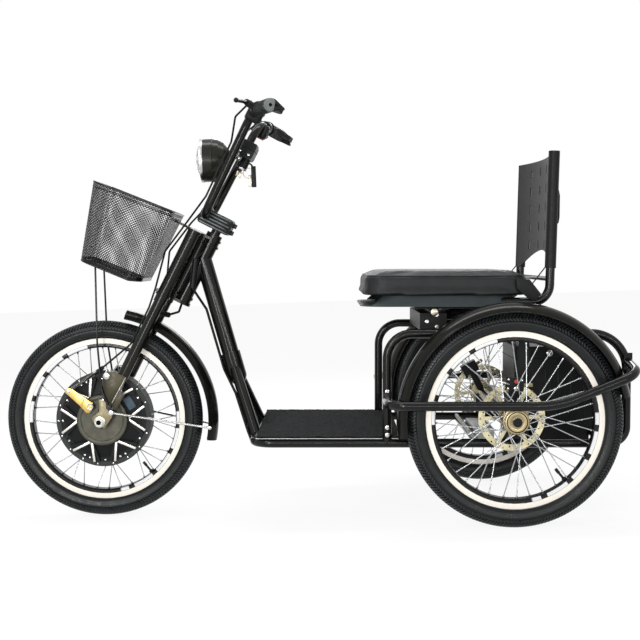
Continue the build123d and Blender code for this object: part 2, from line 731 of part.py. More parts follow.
def floor_pieces():
    """Deck plate and mat, cut round the hoop legs and the deck legs."""
    low = RAIL_Z + RAIL_TUBE_RADIUS
    middle = low + DECK_PLATE_THICKNESS
    high = middle + MAT_THICKNESS
    inset = MAT_HALF_WIDTH - DECK_PLATE_INSET
    plate = block((DECK_FRONT_X + DECK_PLATE_INSET, MAT_REAR_X - DECK_PLATE_INSET), (-inset, inset), (low, middle))
    mat = block((DECK_FRONT_X + DECK_PLATE_INSET, MAT_REAR_X), (-MAT_HALF_WIDTH, MAT_HALF_WIDTH), (middle, high))
    gap = RAIL_TUBE_RADIUS + MAT_LEG_GAP
    legs = [
        rod((HOOP_FRONT_X, side * RAIL_Y, RAIL_Z), (HOOP_FRONT_X, side * RAIL_Y, 0), gap)
        for side in SIDES.values()
    ]
    front = deck_leg_rods(DECK_LEG_RADIUS + MAT_LEG_GAP)
    plate = in_chassis(plate.cut(*legs)).cut(*front)
    mat = in_chassis(mat.cut(*legs)).cut(*front)
    return {
        "floor_plate": plate.solids().sort_by(SortBy.VOLUME)[-1],
        "floor_mat": mat.solids().sort_by(SortBy.VOLUME)[-1],
    }


def side_guard(side):
    """Bent guard tube outside one rear wheel, with its bolted tabs."""
    y = side * GUARD_Y
    hoop_y = side * RAIL_Y
    points = [
        (HOOP_FRONT_X, hoop_y, GUARD_Z),
        (HOOP_FRONT_X, y, GUARD_Z),
        (GUARD_BEND_X, y, GUARD_Z),
        (GUARD_REAR_X, y, GUARD_REAR_Z),
        (HOOP_REAR_X, hoop_y, GUARD_END_Z),
    ]
    bar = bent_bar(points, [GUARD_CORNER, GUARD_RISE_BEND, GUARD_CORNER], GUARD_TUBE_RADIUS)
    tabs = []
    face = RAIL_Y + RAIL_TUBE_RADIUS
    for x, z in ((HOOP_FRONT_X, GUARD_Z), (HOOP_REAR_X, GUARD_END_Z)):
        reach = GUARD_TAB_WIDTH / 2
        low, high = sorted((side * (face - 4), side * (face + GUARD_TAB_THICKNESS)))
        tabs.append(block((x - reach, x + reach), (low, high), (z - GUARD_TAB_HEIGHT / 2, z + GUARD_TAB_HEIGHT / 2)))
    return coped(bar.fuse(*tabs))


def rear_axle():
    """Axle beam on two saddles, with the stub axles and nuts of the rear wheels."""
    beam = rod((0, -AXLE_BEAM_END, 0), (0, AXLE_BEAM_END, 0), AXLE_BEAM_RADIUS)
    pieces = []
    for side in SIDES.values():
        nut_start = HUB_CAP_FACE_Y + NUT_GAP
        nut_end = nut_start + AXLE_NUT_LENGTH
        pieces.append(rod((0, 0, 0), (0, side * nut_end, 0), STUB_AXLE_RADIUS))
        pieces.append(rod((0, side * nut_start, 0), (0, side * nut_end, 0), AXLE_NUT_RADIUS))
        low, high = sorted((side * (RAIL_Y - SADDLE_THICKNESS / 2), side * (RAIL_Y + SADDLE_THICKNESS / 2)))
        pieces.append(block((-SADDLE_WIDTH / 2, SADDLE_WIDTH / 2), (low, high), (RAIL_Z, 0)))
    return coped(beam.fuse(*pieces))


def caliper(side, angle):
    """Disc brake caliper of one side, standing on the axle beam at an angle above level."""
    inner = DISC_Y - DISC_THICKNESS / 2 - CALIPER_GAP
    outer = DISC_Y + DISC_THICKNESS / 2 + CALIPER_GAP
    width = (-CALIPER_WIDTH / 2, CALIPER_WIDTH / 2)
    top = DISC_RADIUS + CALIPER_BRIDGE
    clear = DISC_RADIUS + CALIPER_GAP
    body = block((DISC_RADIUS - DISC_BAND, top), (inner - CALIPER_DEPTH, inner), width)
    bridge = block((clear, top), (inner, outer), width)
    plate = block((DISC_RADIUS - DISC_BAND, top), (outer, outer + CALIPER_PLATE), width)
    arm_face = inner - CALIPER_DEPTH
    arm_height = (-CALIPER_ARM_HEIGHT / 2, CALIPER_ARM_HEIGHT / 2)
    arm = block((0, DISC_RADIUS), (arm_face, arm_face + CALIPER_ARM_THICKNESS), arm_height)
    whole = body.fuse(bridge, plate, arm)
    whole = Rot(0, -angle, 0) * whole
    if side < 0:
        whole = whole.mirror(Plane.XZ)
    beam = rod((0, -AXLE_BEAM_END, 0), (0, AXLE_BEAM_END, 0), AXLE_BEAM_RADIUS)
    return (whole - beam).solids().sort_by(SortBy.VOLUME)[-1]


def rear_mudguard(side):
    """Rolled mudguard over one rear wheel, with two tabs on the hoop's top."""
    section = mudguard_section(REAR_MUDGUARD_RADIUS, REAR_MUDGUARD_DEPTH, REAR_MUDGUARD_WIDTH)
    span = REAR_MUDGUARD_END - REAR_MUDGUARD_START
    guard = revolve(section, axis=Axis.Y, revolution_arc=span)
    guard = Pos(0, side * WHEEL_Y, 0) * Rot(0, -REAR_MUDGUARD_END, 0) * guard
    edge = REAR_MUDGUARD_RADIUS - REAR_MUDGUARD_DEPTH + MUDGUARD_TAB_LAP
    reach = math.sqrt(edge**2 - HOOP_TOP_Z**2)
    skirt = WHEEL_Y - REAR_MUDGUARD_WIDTH / 2
    tabs = []
    for x in (-reach, reach):
        across = sorted((side * RAIL_Y, side * (skirt + MUDGUARD_TAB_BITE)))
        along = (x - MUDGUARD_TAB_WIDTH / 2, x + MUDGUARD_TAB_WIDTH / 2)
        height = (HOOP_TOP_Z - MUDGUARD_TAB_HEIGHT / 2, HOOP_TOP_Z + MUDGUARD_TAB_HEIGHT / 2)
        tabs.append(block(along, across, height))
    return coped(guard.fuse(*tabs))


def mudguard_section(radius, depth, width):
    """Rolled sheet section of a mudguard in the XY plane, its crown at the given radius."""
    half = width / 2
    arc_radius = (half**2 + depth**2) / (2 * depth)
    centre = radius - arc_radius
    inner = arc_radius - MUDGUARD_SHEET
    angle = math.asin(half / arc_radius)
    outer_end = (centre + arc_radius * math.cos(angle), half)
    inner_end = (centre + inner * math.cos(angle), inner * math.sin(angle))
    outline = [
        ThreePointArc((outer_end[0], -outer_end[1]), (radius, 0), outer_end),
        Line(outer_end, inner_end),
        ThreePointArc(inner_end, (centre + inner, 0), (inner_end[0], -inner_end[1])),
        Line((inner_end[0], -inner_end[1]), (outer_end[0], -outer_end[1])),
    ]
    return make_face(Wire(outline))


def battery_box():
    """Battery case on the rear cross tubes, its belly hanging between them."""
    rest = RAIL_Z + CROSS_TUBE_RADIUS
    width = (-BATTERY_HALF_WIDTH, BATTERY_HALF_WIDTH)
    case = block((BATTERY_FRONT_X, BATTERY_REAR_X), width, (rest, BATTERY_TOP_Z))
    front, rear = BATTERY_CROSS_PLACES
    clear = CROSS_TUBE_RADIUS + 2
    belly = block((front + clear, rear - clear), width, (BATTERY_BOTTOM_Z, rest))
    case = case.fuse(belly)
    case = fillet(case.edges().filter_by(Axis.Z), BATTERY_CORNER)
    post_gap = block(
        (POST_X - POST_WIDTH, POST_X + POST_WIDTH),
        (-BATTERY_HALF_WIDTH - 20, BATTERY_HALF_WIDTH + 20),
        (RAIL_Z, rest),
    )
    return case - post_gap


def controller_box():
    """Controller case hung on its cross tube."""
    case = block(
        (CONTROLLER_FRONT_X, CONTROLLER_REAR_X),
        (-CONTROLLER_HALF_WIDTH, CONTROLLER_HALF_WIDTH),
        (CONTROLLER_BOTTOM_Z, CONTROLLER_TOP_Z),
    )
    return fillet(case.edges().filter_by(Axis.Y), 4)


# ================================================================ seat
def pan_form(low, inset):
    """Tray that narrows upwards, with rounded corners, from a height to just under the cushion."""
    width = 2 * (PAN_HALF_WIDTH - inset)
    front = PAN_FRONT_X + inset
    rear = PAN_REAR_X - inset
    rim = Pos((front + rear) / 2, 0, low) * RectangleRounded(rear - front, width, PAN_CORNER - inset)
    front += PAN_NOSE_SLOPE
    rear -= PAN_REAR_SLOPE
    width -= 2 * PAN_SIDE_SLOPE
    top = Pos((front + rear) / 2, 0, SEAT_BOTTOM_Z + inset) * RectangleRounded(
        rear - front, width, PAN_CORNER - inset
    )
    return loft([rim, top])


def seat_pieces():
    """Bracket, pan, cushion, backrest tubes and slotted back panel."""
    tube_top = HINGE_Z + HINGE_RADIUS
    pan_low = SEAT_BOTTOM_Z - PAN_THICKNESS
    bracket_low = HOOP_TOP_Z
    plate = BRACKET_WALL
    front, rear = BRACKET_X - BRACKET_LENGTH / 2, BRACKET_X + BRACKET_LENGTH / 2
    top = HINGE_Z - HINGE_RADIUS * 0.5
    half = BRACKET_HALF_WIDTH
    pieces = [
        block((front, front + plate), (-half, half), (bracket_low + 5, top)),
        block((front, rear), (-half, half), (top - plate, top)),
        block((front, rear), (-half, -half + plate), (bracket_low, top)),
        block((front, rear), (half - plate, half), (bracket_low, top)),
        block((front, rear), (-plate / 2, plate / 2), (bracket_low, top)),
        rod((BRACKET_X, -half - 24, HINGE_Z), (BRACKET_X, half + 24, HINGE_Z), HINGE_RADIUS),
        block((front - 12, STOP_X + 16), (-half + 20, half - 20), (tube_top - 2, pan_low)),
        block((STOP_X - 14, STOP_X + 14), (-STOP_HALF_WIDTH, STOP_HALF_WIDTH), (HOOP_TOP_Z, pan_low)),
    ]
    bars = [cross_bar(x, HOOP_TOP_Z) for x in (BRACKET_X, STOP_X)]
    bracket = pieces[0].fuse(*pieces[1:]).cut(*bars)

    pan_outer = pan_form(pan_low, 0)
    pan = pan_outer - pan_form(pan_low + PAN_WALL, PAN_WALL)

    low = SEAT_BOTTOM_Z + SEAT_GAP
    shoulder = low + CUSHION_HEIGHT
    middle = (SEAT_FRONT_X + SEAT_REAR_X) / 2
    length = SEAT_REAR_X - SEAT_FRONT_X
    base = Pos(middle, 0, low) * RectangleRounded(length, 2 * SEAT_HALF_WIDTH, SEAT_CORNER)
    cushion = extrude(base, CUSHION_HEIGHT)
    crown_low = Pos(middle, 0, shoulder) * RectangleRounded(length, 2 * SEAT_HALF_WIDTH, SEAT_CORNER)
    crown_high = Pos(middle, 0, shoulder + CUSHION_CROWN) * RectangleRounded(
        length - 2 * CROWN_INSET, 2 * (SEAT_HALF_WIDTH - CROWN_INSET), SEAT_CORNER / 2
    )
    cushion = cushion.fuse(loft([crown_low, crown_high]))

    back = Location((BACKREST_FOOT_X, 0, BACKREST_BOTTOM_Z), (0, BACKREST_LEAN, 0))
    frame_parts = []
    sleeves = []
    top_end = (back * Pos(0, 0, BACKREST_HEIGHT - BACKREST_CAP)).position
    drop = (BACKREST_BOTTOM_Z - PAN_TUBE_Z) / math.cos(math.radians(BACKREST_LEAN))
    corner = (back * Pos(0, 0, -drop)).position
    for side in SIDES.values():
        y = side * BACKREST_TUBE_Y
        points = [(top_end.X, y, top_end.Z), (corner.X, y, corner.Z), (PAN_REAR_X - PAN_CORNER, y, PAN_TUBE_Z)]
        frame_parts.append(bent_bar(points, [BACKREST_BEND], BACKREST_TUBE_RADIUS))
        sleeve = rod((0, y, 0), (0, y, BACKREST_HEIGHT), BACKREST_TUBE_RADIUS + BACKREST_WALL)
        sleeves.append(sleeve)
    brace = rod((0, -BACKREST_TUBE_Y, -BRACE_DROP), (0, BACKREST_TUBE_Y, -BRACE_DROP), BRACE_RADIUS)
    backrest_frame = frame_parts[0].fuse(frame_parts[1], back * brace) - pan_outer

    chord = BACKREST_TUBE_Y
    sheet_radius = (chord**2 + BACKREST_BULGE**2) / (2 * BACKREST_BULGE)
    face = -BACKREST_TUBE_RADIUS
    centre_x = face + BACKREST_BULGE - sheet_radius
    outer = rod((centre_x, 0, 0), (centre_x, 0, BACKREST_HEIGHT), sheet_radius)
    inner = rod((centre_x, 0, -1), (centre_x, 0, BACKREST_HEIGHT + 1), sheet_radius - BACKREST_WALL)
    window = block((face - BACKREST_BULGE, face + BACKREST_BULGE + 5), (-chord, chord), (0, BACKREST_HEIGHT))
    sheet = (outer - inner) & window
    cuts = []
    for row in range(SLOT_ROWS):
        for column in range(SLOT_COLUMNS):
            y = (column - (SLOT_COLUMNS - 1) / 2) * SLOT_PITCH_Y
            z = BACKREST_HEIGHT - SLOT_TOP_MARGIN - row * SLOT_PITCH_Z
            slot = SlotOverall(SLOT_LENGTH, SLOT_WIDTH, rotation=90)
            cutter = extrude(Plane.YZ * slot, 60, both=True)
            cuts.append(Pos(0, y, z) * cutter)
    arch = [
        ThreePointArc((-ARCH_HALF_WIDTH, 0), (0, ARCH_HEIGHT), (ARCH_HALF_WIDTH, 0)),
        Line((ARCH_HALF_WIDTH, 0), (-ARCH_HALF_WIDTH, 0)),
    ]
    cuts.append(extrude(Plane.YZ * make_face(Wire(arch)), 80, both=True))
    tube_top = BACKREST_HEIGHT - BACKREST_CAP
    tubes = [
        rod((0, side * BACKREST_TUBE_Y, -1), (0, side * BACKREST_TUBE_Y, tube_top), BACKREST_TUBE_RADIUS)
        for side in SIDES.values()
    ]
    panel = sleeves[0].fuse(sleeves[1], sheet).cut(*cuts).cut(*tubes)
    return {
        "seat_bracket": bracket.solids().sort_by(SortBy.VOLUME)[-1],
        "seat_pan": pan,
        "seat_cushion": cushion,
        "backrest_frame": backrest_frame,
        "backrest_panel": (back * panel).solids().sort_by(SortBy.VOLUME)[-1],
    }


# ================================================================ steering
def fork_crowns():
    """Two crown plates on the steerer, with bearing races that run clear of the head tube."""
    parts_here = []
    for top, thickness, nose in (
        (UPPER_CROWN_TOP, UPPER_CROWN_THICKNESS, UPPER_CROWN_FRONT),
        (LOWER_CROWN_TOP, LOWER_CROWN_THICKNESS, LOWER_CROWN_FRONT),
    ):
        low = top - thickness
        leg_x = -FORK_OFFSET
        web = block((leg_x - CROWN_WEB, leg_x + CROWN_WEB), (-FORK_LEG_Y, FORK_LEG_Y), (low, top))
        middle = block((leg_x, 0), (-CROWN_REAR, CROWN_REAR), (low, top))
        tongue = block((nose, leg_x), (-CROWN_TONGUE, CROWN_TONGUE), (low, top))
        parts_here += [web, middle, tongue, rod((0, 0, low), (0, 0, top), CROWN_REAR)]
        for side in SIDES.values():
            y = side * FORK_LEG_Y
            parts_here.append(rod((leg_x, y, low), (leg_x, y, top), FORK_LEG_RADIUS + CROWN_RIM))
    steerer = rod((0, 0, LOWER_CROWN_TOP - LOWER_CROWN_THICKNESS), (0, 0, STEERER_TOP), STEERER_RADIUS)
    races = [
        rod((0, 0, LOWER_CROWN_TOP), (0, 0, HEAD_TUBE_BOTTOM - HEADSET_RUNNING_GAP), RACE_RADIUS),
        rod(
            (0, 0, HEAD_TUBE_TOP + HEADSET_RUNNING_GAP),
            (0, 0, UPPER_CROWN_TOP - UPPER_CROWN_THICKNESS),
            RACE_RADIUS,
        ),
        rod((0, 0, UPPER_CROWN_TOP), (0, 0, UPPER_CROWN_TOP + TOP_NUT_HEIGHT), RACE_RADIUS),
    ]
    return steerer.fuse(*races, *parts_here)


def fork_leg(side):
    """One fork leg: upper tube, slimmer lower tube and the folded axle foot."""
    y = side * FORK_LEG_Y
    low_crown = LOWER_CROWN_TOP - LOWER_CROWN_THICKNESS
    high_crown = UPPER_CROWN_TOP - UPPER_CROWN_THICKNESS
    lower = rod((-FORK_OFFSET, y, FOOT_JOIN), (-FORK_OFFSET, y, low_crown), FORK_LOWER_RADIUS)
    collar = rod((-FORK_OFFSET, y, low_crown - COLLAR_HEIGHT), (-FORK_OFFSET, y, low_crown), FORK_LEG_RADIUS)
    foot_line = Polyline(*FOOT_OUTLINE, close=True)
    foot = extrude(Plane.XZ * make_face(foot_line), FOOT_WIDTH / 2, both=True)
    foot = Pos(0, y, 0) * foot
    foot = foot - rod((-FORK_OFFSET, y - 40, 0), (-FORK_OFFSET, y + 40, 0), FRONT_AXLE_RADIUS)
    leg = lower.fuse(collar, foot)
    upper = rod((-FORK_OFFSET, y, LOWER_CROWN_TOP), (-FORK_OFFSET, y, high_crown), FORK_LEG_RADIUS)
    return Compound([leg.solid(), upper])


def front_axle():
    """Front axle bar with a washer and nut outside each fork foot."""
    bar = rod(
        (-FORK_OFFSET, -FRONT_AXLE_HALF_LENGTH, 0),
        (-FORK_OFFSET, FRONT_AXLE_HALF_LENGTH, 0),
        FRONT_AXLE_RADIUS,
    )
    face = FORK_LEG_Y + FOOT_WIDTH / 2
    nuts = [
        rod(
            (-FORK_OFFSET, side * face, 0), (-FORK_OFFSET, side * (face + AXLE_NUT_LENGTH), 0), AXLE_NUT_RADIUS
        )
        for side in SIDES.values()
    ]
    return bar.fuse(*nuts)


def front_brake():
    """Front axle with the drum brake plate fixed on its left side, and the plate's lever arm."""
    inner = MOTOR_HALF_WIDTH + BRAKE_PLATE_GAP
    outer = inner + BRAKE_PLATE_THICKNESS
    foot = FORK_LEG_Y - FOOT_WIDTH / 2
    plate = rod((-FORK_OFFSET, -inner, 0), (-FORK_OFFSET, -outer, 0), BRAKE_PLATE_RADIUS)
    hub = rod((-FORK_OFFSET, -inner, 0), (-FORK_OFFSET, -foot, 0), BRAKE_HUB_RADIUS)
    pivot = rod((*BRAKE_PIVOT[:1], -inner, BRAKE_PIVOT[1]), (*BRAKE_PIVOT[:1], -BRAKE_ARM_Y, BRAKE_PIVOT[1]), 8)
    run_x = BRAKE_ARM_END[0] - BRAKE_PIVOT[0]
    run_z = BRAKE_ARM_END[1] - BRAKE_PIVOT[1]
    length = math.hypot(run_x, run_z)
    angle = math.degrees(math.atan2(run_z, run_x))
    arm = block((0, length), (-BRAKE_ARM_Y, -BRAKE_ARM_Y + 5), (-7, 7))
    arm = Pos(BRAKE_PIVOT[0], 0, BRAKE_PIVOT[1]) * Rot(0, -angle, 0) * arm
    return front_axle().fuse(plate, hub, pivot, arm)


def front_mudguard():
    """Front mudguard with the strap up to the lower crown and its two stays."""
    section = mudguard_section(FRONT_MUDGUARD_RADIUS, FRONT_MUDGUARD_DEPTH, FRONT_MUDGUARD_WIDTH)
    span = FRONT_MUDGUARD_END - FRONT_MUDGUARD_START
    guard = revolve(section, axis=Axis.Y, revolution_arc=span)
    guard = Rot(0, -FRONT_MUDGUARD_END, 0) * guard
    centre = Pos(FRONT_AXLE_X + FRONT_MUDGUARD_SHIFT_X, 0, TYRE_RADIUS + FRONT_MUDGUARD_SHIFT_Z)
    guard = centre * guard
    strap = in_steering(
        block(
            (-FORK_OFFSET - 2, -FORK_OFFSET + 2),
            (-14, 14),
            (FRONT_MUDGUARD_RADIUS - 6, LOWER_CROWN_TOP - LOWER_CROWN_THICKNESS),
        )
    )
    stays = []
    edge = FRONT_MUDGUARD_WIDTH / 2
    foot_face = FORK_LEG_Y + FOOT_WIDTH / 2
    tip_angle = math.radians(STAY_ANGLE)
    reach = FRONT_MUDGUARD_RADIUS - FRONT_MUDGUARD_DEPTH + 4
    for side in SIDES.values():
        start = (STEERING * Pos(STAY_FOOT[0], side * (foot_face + STAY_RADIUS), STAY_FOOT[1])).position
        end = (centre * Pos(reach * math.cos(tip_angle), side * edge, reach * math.sin(tip_angle))).position
        stays.append(rod(tuple(start), tuple(end), STAY_RADIUS))
        eye = (STEERING * Pos(STAY_FOOT[0], side * foot_face, STAY_FOOT[1])).position
        far = (STEERING * Pos(STAY_FOOT[0], side * (foot_face + 2 * STAY_RADIUS), STAY_FOOT[1])).position
        stays.append(rod(tuple(eye), tuple(far), 7))
    return guard.fuse(strap, *stays)


def handlebar_bar(radius):
    """The handlebar's own bar, from grip to grip."""
    points = [
        (BAR_END_X, -BAR_END_Y, BAR_END_S),
        (BAR_X, -BAR_SHOULDER_Y, BAR_SHOULDER_S),
        (BAR_X, -BAR_BOTTOM_HALF_WIDTH, BAR_BOTTOM_S),
        (BAR_X, BAR_BOTTOM_HALF_WIDTH, BAR_BOTTOM_S),
        (BAR_X, BAR_SHOULDER_Y, BAR_SHOULDER_S),
        (BAR_END_X, BAR_END_Y, BAR_END_S),
    ]
    bends = [BAR_SHOULDER_BEND, BAR_BOTTOM_BEND, BAR_BOTTOM_BEND, BAR_SHOULDER_BEND]
    return bent_bar(points, bends, radius)


def bar_point(side, half_width):
    """Point on the bar's outer run at a distance from the middle plane."""
    share = (half_width - BAR_SHOULDER_Y) / (BAR_END_Y - BAR_SHOULDER_Y)
    x = BAR_X + (BAR_END_X - BAR_X) * share
    s = BAR_SHOULDER_S + (BAR_END_S - BAR_SHOULDER_S) * share
    return (x, side * half_width, s)


def grip(side):
    """Grip sleeve with a flat palm rest behind it and a closed end."""
    inboard = BAR_END_Y - GRIP_LENGTH
    sleeve = rod(bar_point(side, inboard), bar_point(side, BAR_END_Y + GRIP_CAP), GRIP_RADIUS)
    low = bar_point(side, inboard + 40)
    high = bar_point(side, BAR_END_Y + GRIP_CAP)
    rest = Polyline(
        (low[0], low[1]),
        (low[0] + GRIP_RADIUS, low[1]),
        (high[0] + PALM_REACH * 0.8, high[1] - side * 45),
        (high[0] + PALM_REACH, high[1] - side * 14),
        (high[0] + PALM_REACH * 0.8, high[1]),
        (high[0], high[1]),
        close=True,
    )
    palm = extrude(make_face(rest), PALM_THICKNESS)
    palm = Pos(0, 0, high[2] - PALM_THICKNESS * 0.4) * palm
    core = rod(bar_point(side, BAR_SHOULDER_Y), bar_point(side, BAR_END_Y), BAR_RADIUS)
    return sleeve.fuse(palm) - core


def brake_levers():
    """Clamp, body and blade of both brake levers, ahead of the bar."""
    solids = []
    for side in SIDES.values():
        inner = bar_point(side, LEVER_BODY_INBOARD)
        outer = bar_point(side, LEVER_BODY_INBOARD + LEVER_BODY_WIDTH)
        ring = rod(inner, outer, BAR_RADIUS + LEVER_RING_WALL)
        middle = Vector(*inner) + (Vector(*outer) - Vector(*inner)) * 0.5
        knee = middle + Vector(-LEVER_REACH, side * LEVER_BODY_RADIUS, LEVER_RISE)
        tip = knee + Vector(-LEVER_SWEEP, side * LEVER_BLADE_LENGTH, -LEVER_TIP_DROP)
        body = rod(tuple(middle), tuple(knee), LEVER_BODY_RADIUS)
        blade = rod(tuple(knee), tuple(tip), LEVER_BLADE_RADIUS)
        ends = [Pos(*knee) * Sphere(LEVER_BODY_RADIUS), Pos(*tip) * Sphere(LEVER_TIP_RADIUS)]
        core = rod(bar_point(side, BAR_SHOULDER_Y), bar_point(side, BAR_END_Y), BAR_RADIUS)
        solids.append((ring.fuse(body, blade, *ends) - core).solid())
    return Compound(solids)


def handlebar_clamp():
    """Clamp block on the steerer that holds the bar's low run."""
    block_shape = block((CLAMP_FRONT, CLAMP_REAR), (-CLAMP_HALF_WIDTH, CLAMP_HALF_WIDTH), (CLAMP_BOTTOM, CLAMP_TOP))
    block_shape = fillet(block_shape.edges().filter_by(Axis.Y), 9)
    steerer = rod((0, 0, UPPER_CROWN_TOP), (0, 0, STEERER_TOP), STEERER_RADIUS)
    bar = rod((BAR_X, -60, BAR_BOTTOM_S), (BAR_X, 60, BAR_BOTTOM_S), BAR_RADIUS)
    ribs = []
    for index in range(CLAMP_GROOVES):
        s = CLAMP_BOTTOM + (index + 1) * (CLAMP_TOP - CLAMP_BOTTOM) / (CLAMP_GROOVES + 1)
        for side in SIDES.values():
            low, high = sorted((side * (CLAMP_HALF_WIDTH - 2), side * (CLAMP_HALF_WIDTH + 1)))
            ribs.append(block((CLAMP_FRONT - 1, CLAMP_REAR + 1), (low, high), (s - 1.2, s + 1.2)))
    return block_shape.cut(steerer, bar, *ribs)


def ignition_box():
    """Instrument bar between the uprights with the display box and the lock barrel."""
    share = (CROSSBAR_S - BAR_BOTTOM_S) / (BAR_SHOULDER_S - BAR_BOTTOM_S)
    reach = BAR_BOTTOM_HALF_WIDTH + (BAR_SHOULDER_Y - BAR_BOTTOM_HALF_WIDTH) * share
    bar = rod((BAR_X, -reach, CROSSBAR_S), (BAR_X, reach, CROSSBAR_S), CROSSBAR_RADIUS)
    box = block((DASH_FRONT, DASH_REAR), (-DASH_HALF_WIDTH, DASH_HALF_WIDTH), (CROSSBAR_S, DASH_TOP))
    box = fillet(box.edges().filter_by(Axis.Y), 8)
    barrel = rod((BARREL_X, BARREL_Y, BARREL_BOTTOM), (BARREL_X, BARREL_Y, CROSSBAR_S + 10), BARREL_RADIUS)
    whole = bar.fuse(box, barrel).cut(handlebar_bar(BAR_RADIUS))
    return whole.solids().sort_by(SortBy.VOLUME)[-1]


def headlight():
    """Bowl-shaped lamp shell on a stem from the instrument bar, and its domed lens."""
    bar_centre = (STEERING * Pos(BAR_X, 0, CROSSBAR_S)).position
    front = bar_centre.X - LAMP_REACH
    profile = [(front + x, radius) for x, radius in LAMP_PROFILE]
    back = max(x for x, radius in profile)
    outer = [(back, 0)] + list(profile[::-1])
    inner = [
        (x - LAMP_WALL if radius < LAMP_RADIUS else x, radius - LAMP_WALL)
        for x, radius in profile
        if radius > LAMP_WALL
    ]
    inner[0] = (front, LAMP_RADIUS - LAMP_WALL)
    section = outer + inner + [(inner[-1][0], 0)]
    shell_face = Plane.XZ * make_face(Polyline(*[(x, radius) for x, radius in section], close=True))
    shell = revolve(shell_face, axis=Axis.X)
    seat = LAMP_RADIUS - LAMP_WALL
    dome_radius = (seat**2 + LENS_BULGE**2) / (2 * LENS_BULGE)
    half_angle = math.asin(seat / dome_radius) / 2
    centre = front - LENS_BULGE + dome_radius
    middle = (centre - dome_radius * math.cos(half_angle), dome_radius * math.sin(half_angle))
    dome = [
        ThreePointArc((front, seat), middle, (front - LENS_BULGE, 0)),
        Line((front - LENS_BULGE, 0), (front + LENS_WALL, 0)),
        Line((front + LENS_WALL, 0), (front + LENS_WALL, seat)),
        Line((front + LENS_WALL, seat), (front, seat)),
    ]
    lens = revolve(Plane.XZ * make_face(Wire(dome)), axis=Axis.X).solid()
    place = Pos(0, 0, bar_centre.Z - LAMP_DROP)
    stem = rod((back - LAMP_WALL, 0, bar_centre.Z - LAMP_DROP), tuple(bar_centre), LAMP_STEM_RADIUS)
    bar = in_steering(rod((BAR_X, -60, CROSSBAR_S), (BAR_X, 60, CROSSBAR_S), CROSSBAR_RADIUS))
    stem = stem - bar
    shell = (place * shell).fuse(stem)
    return {"headlight_shell": shell, "headlight_lens": place * lens}


def basket():
    """Tapered lattice basket with a sloping floor, open on top, hung on the upper crown's tongue."""
    shell = basket_form(0) - basket_form(BASKET_WALL)
    return shell.cut(*basket_side_cutters(), *basket_end_cutters(), *basket_floor_cutters())


def lattice(columns, rows, place):
    """Four-cornered openings of a plain grid; place gives a point for shares along and up."""
    cells = []
    for column in range(columns):
        for row in range(rows):
            corners = [(column, row), (column + 1, row), (column + 1, row + 1), (column, row + 1)]
            points = [place(along / columns, up / rows) for along, up in corners]
            middle = [sum(point[axis] for point in points) / 4 for axis in (0, 1)]
            cell = []
            for point in points:
                pull = [math.copysign(BASKET_BAR / 2, point[axis] - middle[axis]) for axis in (0, 1)]
                cell.append((point[0] - pull[0], point[1] - pull[1]))
            cells.append(cell)
    return cells


def mix(low, high, share):
    """Value at a share of the way from low to high."""
    return low + (high - low) * share


def basket_half(height):
    """Half of the basket's width at a height."""
    rise = BASKET_TOP_REAR_S - BASKET_BOTTOM_FRONT_S
    return mix(BASKET_BOTTOM_HALF_WIDTH, BASKET_TOP_HALF_WIDTH, (height - BASKET_BOTTOM_FRONT_S) / rise)


def basket_side_cutters():
    """Cutters of the grid through both side walls."""
    edge = BASKET_CORNER + BASKET_BAR / 2

    def place(along, up):
        front = mix(BASKET_BOTTOM_FRONT_X, BASKET_TOP_FRONT_X, up) + edge
        x = mix(front, BASKET_REAR_X - edge, along)
        back = (x - BASKET_BOTTOM_FRONT_X) / (BASKET_REAR_X - BASKET_BOTTOM_FRONT_X)
        foot = mix(BASKET_BOTTOM_FRONT_S, BASKET_BOTTOM_REAR_S, back) + BASKET_FOOT_MARGIN
        rim = mix(BASKET_TOP_FRONT_S, BASKET_TOP_REAR_S, back) - BASKET_RIM_MARGIN
        return x, mix(foot, rim, up)

    cells = lattice(*BASKET_SIDE_GRID, place)
    return [extrude(Plane.XZ * make_face(Polyline(*cell, close=True)), 300, both=True) for cell in cells]


def basket_end_cutters():
    """Cutters of the grids through the front and the rear wall, past the tongue's seat."""
    cutters = []
    for foot, rim, x_range in (
        (BASKET_BOTTOM_FRONT_S, BASKET_TOP_FRONT_S, (BASKET_TOP_FRONT_X - 4, BASKET_BOTTOM_FRONT_X + 8)),
        (BASKET_BOTTOM_REAR_S, BASKET_TOP_REAR_S, (BASKET_REAR_X - 8, BASKET_REAR_X + 4)),
    ):
        def place(along, up):
            height = mix(foot + BASKET_FOOT_MARGIN, rim - BASKET_RIM_MARGIN, up)
            half = basket_half(height) - BASKET_CORNER - BASKET_BAR / 2
            return mix(-half, half, along), height

        for cell in lattice(*BASKET_FRONT_GRID, place):
            inner_y = min(abs(point[0]) for point in cell)
            top = max(point[1] for point in cell)
            at_tongue = inner_y < CROWN_TONGUE and top > UPPER_CROWN_TOP - UPPER_CROWN_THICKNESS - BASKET_BAR
            if x_range[1] > BASKET_REAR_X and at_tongue:
                continue
            tool = extrude(Plane.YZ * make_face(Polyline(*cell, close=True)), x_range[1] - x_range[0])
            cutters.append(Pos(x_range[0], 0, 0) * tool)
    return cutters


def basket_floor_cutters():
    """Cutters of the grid through the floor, with bars under the stays' ends."""
    columns, rows = BASKET_FLOOR_GRID
    pitch = STAY_Y / 3

    def place(along, up):
        return STAY_TOP_X + (up * rows - 1) * pitch, (along - 0.5) * columns * pitch

    low = BASKET_BOTTOM_FRONT_S - BASKET_WALL
    height = BASKET_KINK_S + 3 * BASKET_WALL - low
    return [
        Pos(0, 0, low) * extrude(make_face(Polyline(*cell, close=True)), height)
        for cell in lattice(columns, rows, place)
    ]


